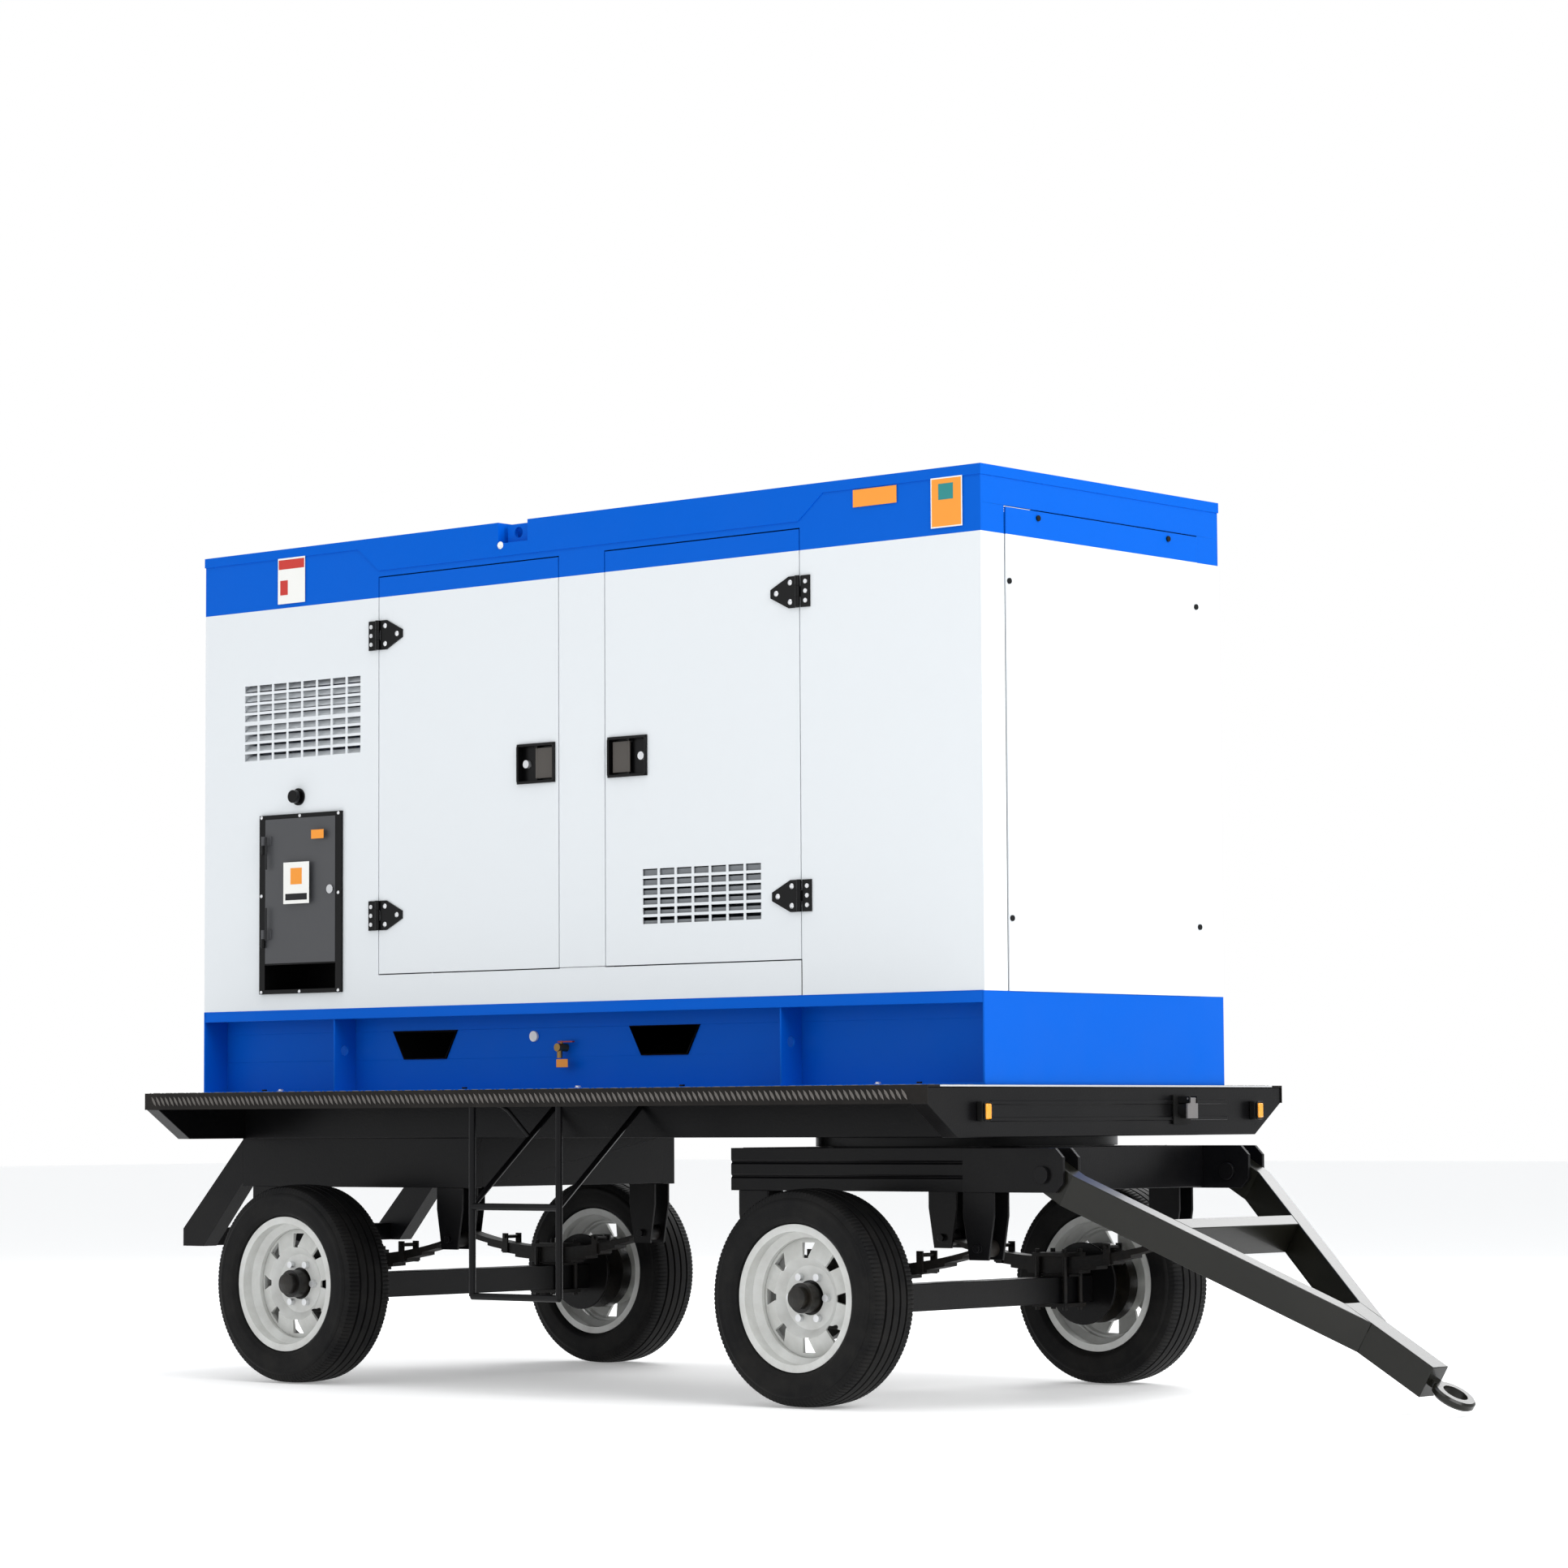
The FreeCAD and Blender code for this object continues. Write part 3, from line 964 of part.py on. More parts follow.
def side_panels(name, side):
    """Fixed sheets around the two doors of one side, each a flat plate."""
    y = sided(side, *SKIN)
    rear_end = "(-rear_door_back - door_gap)"
    rear = block("rear_sheet_" + name, ("-canopy_length", rear_end), y, (BASE_TOP, CANOPY_TOP))
    if side < 0:
        through = ("-panel_half - 5", "-panel_half + 10")
        tub = "(box_wall + box_fit)"
        box_x = ("%s + box_rim - %s" % (BOX[0][0], tub), "%s - box_rim + %s" % (BOX[0][1], tub))
        box_z = ("%s - %s" % (CABLE_LOW, tub), "%s - box_head + %s" % (BOX[1][1], tub))
        holes = [block("vent_hole", VENT[0], through, VENT[1]), block("box_hole", box_x, through, box_z),
                 rod("stop_hole", "Y", (STOP_AT[0], through[0], STOP_AT[1]), "stop_stem_r + box_fit", "20")]
        rear = cut("pierced_rear_sheet", rear, fuse("rear_sheet_holes", holes))
    front_end = "(-front_door_front + door_gap)"
    headers = [block("header_%s_%s" % (kind, name), x, y, z) for kind, x, z in (
        ("rear", (rear_end, LIFT_X[0]), (DOOR_HIGH + " + door_gap", CANOPY_TOP)),
        ("middle", LIFT_X, (DOOR_HIGH + " + door_gap", LIFT_FLOOR)),
        ("front", (LIFT_X[1], front_end), (DOOR_HIGH + " + door_gap", CANOPY_TOP)))]
    return headers + [
        rear,
        block("sill_sheet_" + name, (rear_end, "-(front_door_front - door_gap)"), y,
              (BASE_TOP, DOOR_LOW + " - door_gap")),
        block("middle_sheet_" + name, ("-(rear_door_front - door_gap)", "-(front_door_back + door_gap)"), y,
              (DOOR_LOW + " - door_gap", DOOR_HIGH + " + door_gap")),
        block("front_sheet_" + name, ("-(front_door_front - door_gap)", "0"), y, (BASE_TOP, CANOPY_TOP)),
    ]


def posts(name, side):
    """Square posts behind the sheets, at the corners and beside the doors."""
    y = sided(side, "panel_half - panel_t - post_deep", "panel_half - panel_t")
    starts = ["-canopy_length + panel_t", "-rear_door_back - door_gap - post_w",
              "-rear_door_front + door_gap", "-front_door_back - door_gap - post_w",
              "-front_door_front + door_gap", "-panel_t - post_w"]
    z = (BASE_TOP, "%s - post_w" % CANOPY_TOP)
    return [block("post_%s_%d" % (name, index), (x, "%s + post_w" % x), y, z)
            for index, x in enumerate(starts)]


def canopy_shell():
    pieces = []
    inner = "(panel_half - panel_t - post_deep)"
    rail_z = ("%s - post_w" % CANOPY_TOP, CANOPY_TOP)
    for name, side in SIDES:
        pieces += side_panels(name, side) + posts(name, side)
        rail_y = sided(side, "panel_half - panel_t - post_deep", "panel_half - panel_t")
        for kind, x in (("rear", ("-canopy_length + panel_t", LIFT_X[0] + " - 12")),
                        ("front", (LIFT_X[1] + " + 12", "-panel_t"))):
            pieces.append(block("top_rail_%s_%s" % (kind, name), x, rail_y, rail_z))
    crossing = ("-(lift_back + post_w / 2)", "-(lift_back - post_w / 2)")
    lift_inner = "(panel_half - lift_deep - 4)"
    pieces.append(block("lift_beam", crossing, ("-" + lift_inner, lift_inner), rail_z))
    strap_x = "(silencer_back - silencer_long + 130)"
    pieces.append(block("roof_beam", ("-(%s + post_w / 2)" % strap_x, "-(%s - post_w / 2)" % strap_x),
                        ("-" + inner, inner), rail_z))
    return node("canopy_shell", pieces)


def skirt(name, side):
    """Folded roof edge in three lengths: deeper over the doors, open at the lifting pocket."""
    middle = "%d * (panel_half + roof_over / 2)" % side
    slope_at = "(skirt_slope * (%s - %s) / (%s - %s))" % (LIP_LOW, LIFT_FLOOR, LIP_LOW, SKIRT_LOW)
    fold_rear, fold_front = "-(skirt_rear + skirt_slope)", "-(skirt_front - skirt_slope)"
    step_rear, step_front = fold_rear + " + " + slope_at, fold_front + " - " + slope_at
    rear = [("-canopy_length - roof_over", ROOF_TOP), ("-canopy_length - roof_over", LIP_LOW),
            (fold_rear, LIP_LOW), (step_rear, LIFT_FLOOR), (LIFT_X[0], LIFT_FLOOR), (LIFT_X[0], ROOF_TOP)]
    front = [("roof_over", ROOF_TOP), ("roof_over", LIP_LOW), (fold_front, LIP_LOW),
             (step_front, LIFT_FLOOR), (LIFT_X[1], LIFT_FLOOR), (LIFT_X[1], ROOF_TOP)]
    low = [(step_rear, LIFT_FLOOR), ("-skirt_rear", SKIRT_LOW), ("-skirt_front", SKIRT_LOW),
           (step_front, LIFT_FLOOR)]
    return [prism("skirt_%s_%s" % (kind, name), "XZ", points, middle, "roof_over")
            for kind, points in (("rear", rear), ("front", front), ("low", low))]


def lift_pocket(name, side):
    """Sheet pocket let into the roof edge, and the drilled lifting plate that stands in it."""
    inner = "(panel_half - lift_deep)"
    ends = (LIFT_X[0] + " - pocket_skin", LIFT_X[1] + " + pocket_skin")
    across = sided(side, inner, "panel_half - panel_t")
    under = LIFT_FLOOR + " - pocket_skin"
    walls = [("floor", ends, across, (under, LIFT_FLOOR)),
             ("back", ends, sided(side, inner + " - pocket_skin", inner), (under, CANOPY_TOP)),
             ("rear", (ends[0], LIFT_X[0]), across, (LIFT_FLOOR, CANOPY_TOP)),
             ("front", (LIFT_X[1], ends[1]), across, (LIFT_FLOOR, CANOPY_TOP))]
    pieces = [block("lift_%s_%s" % (kind, name), x, y, z) for kind, x, y, z in walls]
    middle = "(panel_half - lift_deep / 2)"
    plate_y = sided(side, middle + " - lift_plate_t / 2", middle + " + lift_plate_t / 2")
    plate_x = ("-(lift_back + lift_plate_w / 2)", "-(lift_back - lift_plate_w / 2)")
    plate = block("lift_plate_" + name, plate_x, plate_y, (LIFT_FLOOR, "%s - 4" % CANOPY_TOP))
    hole_at = ("-lift_back", plate_y[0] + " - 1", "%s + lift_hole_up" % LIFT_FLOOR)
    hole = rod("lift_hole_" + name, "Y", hole_at, "lift_hole_r", "lift_plate_t + 2")
    return pieces + [cut("drilled_plate_" + name, plate, hole)]


def canopy_roof():
    """Roof sheets laid end to end around the lifting pockets and the air outlet."""
    z = (CANOPY_TOP, ROOF_TOP)
    wide = ("-panel_half", "panel_half")
    inner = "(panel_half - lift_deep)"
    ends = ("(-canopy_length - roof_over)", "roof_over")
    pieces = [block("roof_rear", (ends[0], LIFT_X[0]), wide, z),
              block("roof_between", LIFT_X, ("-" + inner, inner), z),
              block("roof_middle", (LIFT_X[1], OUTLET_X[0]), wide, z),
              block("roof_front", (OUTLET_X[1], ends[1]), wide, z),
              block("roof_lip_rear", (ends[0], "-canopy_length"), wide, (LIP_LOW, CANOPY_TOP)),
              block("roof_lip_front", ("0", ends[1]), wide, (LIP_LOW, CANOPY_TOP))]
    for name, side in SIDES:
        pieces.append(block("roof_beside_" + name, OUTLET_X, sided(side, "outlet_half", "panel_half"), z))
        pieces += skirt(name, side) + lift_pocket(name, side)
    for index in range(1, int(number("outlet_bars"))):
        x = "(%s + outlet_w * %d / outlet_bars)" % (OUTLET_X[0], index)
        pieces.append(block("outlet_bar_%d" % index, (x + " - outlet_bar_t / 2", x + " + outlet_bar_t / 2"),
                            ("-outlet_half", "outlet_half"), z))
    return node("canopy_roof", pieces)


def end_panels():
    """Removable end sheets, the fixed strips around them and their frames."""
    pieces = []
    top = "(%s - end_head)" % CANOPY_TOP
    for kind, face, out in (("front", "0", 1), ("rear", "-canopy_length", -1)):
        skin = (face + " - panel_t", face) if out > 0 else (face, face + " + panel_t")
        proud = (skin[0], "end_panel_proud") if out > 0 else (face + " - end_panel_proud", skin[1])
        pieces.append(block("end_panel_" + kind, proud, ("-end_panel_half", "end_panel_half"),
                            (BASE_TOP, top)))
        pieces.append(block("end_strip_" + kind, skin, ("-(panel_half - panel_t)", "panel_half - panel_t"),
                            (top + " + door_gap", CANOPY_TOP)))
        for name, side in SIDES:
            pieces.append(block("end_post_%s_%s" % (kind, name), skin,
                                sided(side, "end_panel_half + door_gap", "panel_half - panel_t"),
                                (BASE_TOP, top + " + door_gap")))
    return node("end_panels", pieces)


def panel_bolts():
    """Hex-socket bolts of both end panels, and the bolts that hold the skid to the deck."""
    pieces = []
    top = "(%s - end_head)" % CANOPY_TOP
    spots = (("end_panel_half * 0.68", top + " - 21"), ("end_panel_half - 12", top + " - 223"),
             ("end_panel_half - 12", BASE_TOP + " + 216"))
    for face in ("end_panel_proud", "-canopy_length - end_panel_proud - bolt_t"):
        for y, height in spots:
            for side in (-1, 1):
                at = (face, "%d * (%s)" % (side, y), height)
                pieces.append(rod("panel_bolt", "X", at, "bolt_r", "bolt_t"))
    for name, side in SIDES:
        for index in range(4):
            x = "(-canopy_length * %s)" % (0.08 + 0.28 * index)
            at = (x, "%d * (base_half - 30)" % side, "%s + base_t" % DECK_TOP)
            pieces.append(rod("deck_bolt", "Z", at, "bolt_r", "bolt_t"))
    return node("panel_bolts", pieces)


canopy_shell()
canopy_roof()
end_panels()
panel_bolts()


# ---- ventilation grilles ------------------------------------------------------------------------
def bars(name, x, z, y, cols, rows, middle_bar):
    """A flat lattice that fills a hole: the frame's own width is half a bar."""
    items = []
    wide = "((%s) - (%s))" % (x[1], x[0])
    tall = "((%s) - (%s))" % (z[1], z[0])
    for index in range(int(number(cols)) + 1):
        middle = "(%s + vent_bar / 2 + (%s - vent_bar) * %d / %s)" % (x[0], wide, index, cols)
        items.append(block(name + "_bar", (middle + " - vent_bar / 2", middle + " + vent_bar / 2"), y, z))
    count = int(number(rows))
    for index in range(count + 1):
        middle = "(%s + vent_bar / 2 + (%s - vent_bar) * %d / %s)" % (z[0], tall, index, rows)
        half = middle_bar if index == count // 2 else "vent_bar / 2"
        items.append(block(name + "_rail", x, y, (middle + " - " + half, middle + " + " + half)))
    return fuse(name, items)


def louvres(name, x, z, y_face, rows):
    """Tilted slats behind a grille, each a plate on end blocks."""
    slats = []
    tall = "((%s) - (%s))" % (z[1], z[0])
    for index in range(int(number(rows))):
        middle = "(%s + %s * (%d + 0.5) / %s)" % (z[0], tall, index, rows)
        slat = doc.addObject("Part::Box", name + "_slat")
        bind(slat, "Length", "(%s) - (%s)" % (x[1], x[0]))
        bind(slat, "Width", "slat_deep")
        bind(slat, "Height", "slat_t")
        slat.Placement = FreeCAD.Placement(FreeCAD.Vector(), FreeCAD.Rotation(FreeCAD.Vector(1, 0, 0), 1))
        bind(slat, "Placement.Rotation.Angle", "slat_tilt * 1 deg")
        place(slat, (x[0], y_face, middle + " - slat_deep * sin(slat_tilt * 1 deg) / 2"))
        slats.append(slat)
    return slats


def vent_grille():
    grid = bars("vent_lattice", VENT[0], VENT[1], sided(-1, *SKIN), "vent_cols", "vent_rows",
                "vent_mid_bar / 2")
    inner = "-(panel_half - panel_t)"
    cheeks = []
    for x in (VENT[0][0] + " - slat_t", VENT[0][1]):
        cheeks.append(block("vent_cheek", (x, x + " + slat_t"), (inner, inner + " + slat_deep + 12"),
                            (VENT[1][0] + " - 12", VENT[1][1] + " + 4")))
    slats = louvres("vent", (VENT[0][0], VENT[0][1]), VENT[1], inner + " + slat_gap", "vent_rows")
    return node("vent_grille", [grid] + cheeks + slats)


vent_grille()


# ---- doors, hinges and paddle latches -----------------------------------------------------------
DOORS = (("rear_right", -1, "rear_door_back", "rear_door_front", "back"),
         ("front_right", -1, "front_door_back", "front_door_front", "front"),
         ("rear_left", 1, "rear_door_back", "rear_door_front", "back"),
         ("front_left", 1, "front_door_back", "front_door_front", "front"))
HINGE_Y = "(panel_half + knuckle_r + knuckle_clear)"
body_leaves = []


HINGE_LEVELS = ("(%s + hinge_in)" % DOOR_LOW, "(%s - hinge_in)" % DOOR_HIGH)


def door_hinges(name, side, x, way):
    """Strap leaf with the outer knuckles on the door; flat leaf, middle knuckle and pin on the post."""
    straps = []
    y = "%d * %s" % (side, HINGE_Y)
    plate_y = sided(side, "panel_half", "panel_half + leaf_plate")
    third = "((hinge_h - 2 * knuckle_gap) / 3)"
    for level in HINGE_LEVELS:
        low = "(%s - hinge_h / 2)" % level
        inner_low = "(%s + %s + knuckle_gap)" % (low, third)
        high_low = "(%s + 2 * %s + 2 * knuckle_gap)" % (low, third)
        near = "(%s + %d * knuckle_clear)" % (x, way)
        points = [(near, low), ("%s + %d * strap_long * 0.34" % (x, way), low),
                  ("%s + %d * strap_long" % (x, way), "%s - strap_tip / 2" % level),
                  ("%s + %d * strap_long" % (x, way), "%s + strap_tip / 2" % level),
                  ("%s + %d * strap_long * 0.34" % (x, way), low + " + hinge_h"), (near, low + " + hinge_h")]
        leaf = prism("strap", "XZ", points, "(%s + %s) / 2" % plate_y, "leaf_plate")
        gap = block("strap_gap", tuple(sorted_pair(x, way, "-20", "knuckle_r + 2")),
                    (plate_y[0] + " - 1", plate_y[1] + " + 1"),
                    (inner_low + " - knuckle_gap", inner_low + " + %s + knuckle_gap" % third))
        knuckles = []
        for start in (low, high_low):
            knuckles.append(rod("door_knuckle", "Z", (x, y, start), "knuckle_r", third))
        bore = rod("knuckle_bore", "Z", (x, y, low + " - 1"), "hinge_pin_r + run_gap", "hinge_h + 2")
        shape = fuse("strap_shape", [cut("notched_strap", leaf, gap)] + knuckles)
        straps.append(cut("strap_hinge", shape, bore))
        middle = rod("post_knuckle", "Z", (x, y, inner_low), "knuckle_r", third)
        pin = rod("hinge_pin", "Z", (x, y, low), "hinge_pin_r", "hinge_h")
        far = sorted_pair(x, -way, "knuckle_clear", "body_leaf_w")
        leaf = block("post_leaf", far, plate_y, (low, low + " + hinge_h"))
        slots = []
        for start in (low, high_low):
            slots.append(block("post_leaf_slot", sorted_pair(x, -way, "-20", "knuckle_r + 2"),
                               (plate_y[0] + " - 1", plate_y[1] + " + 1"),
                               (start + " - knuckle_gap", start + " + %s + knuckle_gap" % third)))
        web = block("knuckle_web", sorted_pair(x, -way, "0", "knuckle_r + 4"), plate_y,
                    (inner_low, inner_low + " + " + third))
        trimmed = cut("slotted_leaf", leaf, fuse("leaf_slots", slots))
        body_leaves.append(fuse("post_hinge", [trimmed, web, middle, pin]))
        for share in (0.2, 0.5, 0.8):
            bolt_y = "panel_half + leaf_plate" if side > 0 else "-(panel_half + leaf_plate + hinge_bolt_t)"
            spot = ("%s + %d * (body_leaf_w * 0.68)" % (x, -way), bolt_y, "%s + hinge_h * %s" % (low, share))
            body_leaves.append(rod("leaf_bolt", "Y", spot, "hinge_bolt_r", "hinge_bolt_t"))
    return straps


def sorted_pair(x, way, near, far):
    """An x range from near to far, measured from x along way (+1 or -1)."""
    if way > 0:
        return ("%s + %s" % (x, near), "%s + %s" % (x, far))
    return ("%s - (%s)" % (x, far), "%s - (%s)" % (x, near))


def latch_frame(way_x, edge, side):
    """Rounded frame and tray of a paddle latch beside the free edge; returns pieces and the paddle."""
    out = "(%s + %d * latch_in)" % (edge, way_x)
    low = "(%s - latch_h / 2)" % LATCH_Z
    high = "(%s + latch_h / 2)" % LATCH_Z
    x = sorted_pair(out, way_x, "0", "latch_w")
    rim = "latch_rim"
    win_x = (x[0] + " + " + rim, x[1] + " - " + rim)
    win_z = (low + " + " + rim, high + " - " + rim)
    face = sided(side, "panel_half", "panel_half + latch_proud")
    deep = sided(side, "panel_half - latch_deep", "panel_half + latch_proud")
    frame = block("latch_rim", x, face, (low, high))
    tray = block("latch_tray", (win_x[0] + " - latch_wall", win_x[1] + " + latch_wall"), deep,
                 (win_z[0] + " - latch_wall", win_z[1] + " + latch_wall"))
    hollow = block("latch_hollow", win_x,
                   sided(side, "panel_half - latch_deep + latch_wall", "panel_half + latch_proud + 1"), win_z)
    key_x = "(%s + %d * (latch_w - latch_rim - key_r - 10))" % (out, way_x)
    key_start = "panel_half - latch_deep + latch_wall"
    if side < 0:
        key_start = "-(panel_half - latch_deep + latch_wall + key_long)"
    key = rod("key_barrel", "Y", (key_x, key_start, LATCH_Z), "key_r", "key_long")
    pin_x = "(%s + %d * (latch_rim + 8 + paddle_w))" % (out, way_x)
    pin_y = "%d * (panel_half - 4)" % side
    pin_from = "(%s - paddle_h / 2 - 9)" % LATCH_Z
    pin_hole = rod("paddle_pin_hole", "Z", (pin_x, pin_y, "(%s) - 0.5" % pin_from), "paddle_pin_r + run_gap",
                   "paddle_h + 19")
    body = cut("latch_case", fuse("latch_shape", [frame, tray]), hollow)
    lugs = []
    for start in (win_z[0], win_z[1] + " - 5"):
        lugs.append(block("paddle_lug", (pin_x + " - 6", pin_x + " + 6"),
                          sided(side, "panel_half - latch_deep + latch_wall", "panel_half + 2"),
                          (start, start + " + 5")))
    case = cut("latch_housing", fuse("lugged_latch", [body] + lugs), pin_hole)
    blade = block("paddle_blade", sorted_pair(pin_x, -way_x, "0", "paddle_w"),
                  sided(side, "panel_half - 4 - paddle_t / 2", "panel_half - 4 + paddle_t / 2"),
                  (LATCH_Z + " - paddle_h / 2", LATCH_Z + " + paddle_h / 2"))
    barrel_at = (pin_x, pin_y, LATCH_Z + " - paddle_h / 2")
    barrel = rod("paddle_barrel", "Z", barrel_at, "paddle_pin_r + 2", "paddle_h")
    pin = rod("paddle_pin", "Z", (pin_x, pin_y, pin_from), "paddle_pin_r", "paddle_h + 18")
    hole = block("latch_cutout", (win_x[0] + " - latch_wall - 0.5", win_x[1] + " + latch_wall + 0.5"),
                 sided(side, "panel_half - latch_deep", "panel_half + 4"),
                 (win_z[0] + " - latch_wall - 0.5", win_z[1] + " + latch_wall + 0.5"))
    return [case, key], fuse("paddle", [blade, barrel, pin]), hole


def door(name, side, back, front, hinged):
    """A pan-shaped door: outer sheet with four turned-in edges."""
    x = ("-" + back, "-" + front)
    z = (DOOR_LOW, DOOR_HIGH)
    way = 1 if hinged == "back" else -1
    hinge_x = x[0] if way > 0 else x[1]
    free_x = x[1] if way > 0 else x[0]
    sheet_y = sided(side, "panel_half - door_skin", "panel_half")
    edge_y = sided(side, "panel_half - door_depth", "panel_half")
    edges = [block("door_sheet", x, sheet_y, z),
             block("door_edge_back", (x[0], x[0] + " + door_skin"), edge_y, z),
             block("door_edge_front", (x[1] + " - door_skin", x[1]), edge_y, z),
             block("door_edge_low", x, edge_y, (z[0], z[0] + " + door_skin")),
             block("door_edge_high", x, edge_y, (z[1] + " - door_skin", z[1]))]
    hardware, paddle, hole = latch_frame(-way, free_x, side)
    cuts = [hole]
    grille = []
    if name == "front_right":
        vent_x = ("-door_vent_back", "-door_vent_back + door_vent_w")
        vent_z = ("(%s + door_vent_up)" % BASE_TOP, "(%s + door_vent_up + door_vent_h)" % BASE_TOP)
        cuts.append(block("door_vent_hole", vent_x, ("-panel_half - 5", "-panel_half + 10"), vent_z))
        grille.append(bars("door_lattice", vent_x, vent_z, sheet_y, "door_vent_cols", "door_vent_rows",
                           "vent_bar / 2"))
    pan = cut("pierced_door_" + name, fuse("door_pan_" + name, edges), fuse("door_cuts_" + name, cuts))
    node("door_" + name, [fuse("vented_door", [pan] + grille)] if grille else [pan])
    node("door_fittings_" + name, hardware + door_hinges(name, side, hinge_x, way))
    node("latch_paddle_" + name, [paddle])


for name, side, back, front, hinged in DOORS:
    door(name, side, back, front, hinged)
node("hinge_leaves", body_leaves)


# ---- power outlet box and emergency stop --------------------------------------------------------
def outlet_box():
    x, z = BOX
    window = ("(%s + box_rim)" % x[0], "(%s - box_rim)" % x[1])
    proud = ("-(panel_half + box_proud)", "-panel_half")
    deep = ("-(panel_half - box_deep)", "-panel_half")
    top = "(%s - box_head)" % z[1]
    lock_at = (window[1] + " - box_lock_edge", "((%s + %s) / 2)" % (CABLE_HIGH, top))
    cam_slot = block("cam_slot", (window[1] + " - 1", window[1] + " + box_wall + 1"),
                     ("-(panel_half + 1)", "-(panel_half - panel_t - 6)"),
                     (lock_at[1] + " - 8", lock_at[1] + " + cam_long + 2"))
    strips = [block("box_rim_low", x, proud, (z[0], CABLE_LOW)),
              block("box_rim_high", x, proud, (top, z[1])),
              block("box_rim_back", (x[0], window[0]), proud, (CABLE_LOW, top)),
              block("box_rim_front", (window[1], x[1]), proud, (CABLE_LOW, top)),
              block("box_side_back", (window[0] + " - box_wall", window[0]), ("-panel_half", deep[0]),
                    (CABLE_LOW, top)),
              cut("slotted_box_side", block("box_side_front", (window[1], window[1] + " + box_wall"),
                                            ("-panel_half", deep[0]), (CABLE_LOW, top)), cam_slot),
              block("box_bar", window, proud, (CABLE_HIGH, CABLE_HIGH + " + box_bar - box_door_gap")),
              block("box_ceiling", (window[0] + " - box_wall", window[1] + " + box_wall"),
                    ("-panel_half", deep[0]), (top, top + " + box_wall")),
              block("box_bottom", (window[0] + " - box_wall", window[1] + " + box_wall"),
                    ("-panel_half", deep[0]), (CABLE_LOW + " - box_wall", CABLE_LOW)),
              block("box_back", (window[0] + " - box_wall", window[1] + " + box_wall"),
                    (deep[0], deep[0] + " + box_wall"), (CABLE_LOW + " - box_wall", top + " + box_wall"))]
    ring_y = "-(panel_half + stop_ring_t)"
    ring_at = (STOP_AT[0], ring_y, STOP_AT[1])
    collar = cut("stop_collar", rod("collar", "Y", ring_at, "stop_ring_r", "stop_ring_t"),
                 rod("collar_bore", "Y", ring_at, "stop_stem_r + box_fit", "stop_ring_t"))
    hinge_y = "-(panel_half + box_proud + box_knuckle_r + 0.5)"
    ears = []
    for share in (0.18, 0.82):
        middle = "(%s + (%s - %s) * %s)" % (CABLE_HIGH, top, CABLE_HIGH, share)
        base_low = "%s - box_knuckle_h / 2" % middle
        pin = rod("box_pin", "Z", (window[0], hinge_y, base_low), "box_pin_r", "box_knuckle_h")
        knuckle = rod("box_post_knuckle", "Z", (window[0], hinge_y, base_low), "box_knuckle_r",
                      "box_knuckle_h / 2 - 1")
        foot = block("box_hinge_foot", (window[0] + " - 20", window[0]),
                     ("-(panel_half + box_proud + 5)", "-(panel_half + box_proud)"),
                     (base_low, base_low + " + box_knuckle_h / 2 - 1"))
        ears.append(fuse("box_hinge_post", [pin, knuckle, foot]))
    node("outlet_box", strips + [collar] + ears)

    door_x = (window[0] + " + box_door_gap", window[1] + " - box_door_gap")
    door_y = ("-(panel_half + box_proud)", "-(panel_half + box_proud - box_door_t)")
    door_z = (CABLE_HIGH + " + box_bar", top + " - box_door_gap")
    plate = block("box_door_plate", door_x, door_y, door_z)
    leaves = []
    bores = []
    for share in (0.18, 0.82):
        middle = "(%s + (%s - %s) * %s)" % (CABLE_HIGH, top, CABLE_HIGH, share)
        leaves.append(rod("box_door_knuckle", "Z", (window[0], hinge_y, middle), "box_knuckle_r",
                          "box_knuckle_h / 2"))
        leaves.append(block("box_door_leaf", (window[0] + " + 2.5", window[0] + " + 34"),
                            ("-(panel_half + box_proud + 4)", "-(panel_half + box_proud)"),
                            (middle, middle + " + box_knuckle_h / 2")))
        leaves.append(block("box_leaf_web", (window[0] + " + 2.5", window[0] + " + box_knuckle_r + 2"),
                            ("-(panel_half + box_proud + box_knuckle_r)", "-(panel_half + box_proud)"),
                            (middle, middle + " + box_knuckle_h / 2")))
        bores.append(rod("box_door_bore", "Z", (window[0], hinge_y, middle + " - 1"),
                         "box_pin_r + run_gap", "box_knuckle_h / 2 + 2"))
    bores.append(rod("box_lock_bore", "Y", (lock_at[0], "-(panel_half + box_proud + 2)", lock_at[1]),
                     "box_lock_r * 0.6 + run_gap", "20"))
    node("box_door", [cut("box_door_shape", fuse("box_door_solid", [plate] + leaves),
                          fuse("box_door_bores", bores))])
    head_y = "-(panel_half + box_proud + box_lock_out + face_gap)"
    head = rod("lock_head", "Y", (lock_at[0], head_y, lock_at[1]), "box_lock_r", "box_lock_out")
    stem = rod("lock_stem", "Y", (lock_at[0], "-(panel_half + box_proud + box_lock_out)", lock_at[1]),
               "box_lock_r * 0.6", "box_lock_out + box_door_t + box_lock_in")
    cam = block("lock_cam", (lock_at[0] + " - 6", lock_at[0] + " + 6"),
                ("-(panel_half - panel_t - 0.5)", "-(panel_half - panel_t - 4.5)"),
                (lock_at[1] + " - 6", lock_at[1] + " + cam_long"))
    node("box_lock", [fuse("cam_lock", [head, stem, cam])])

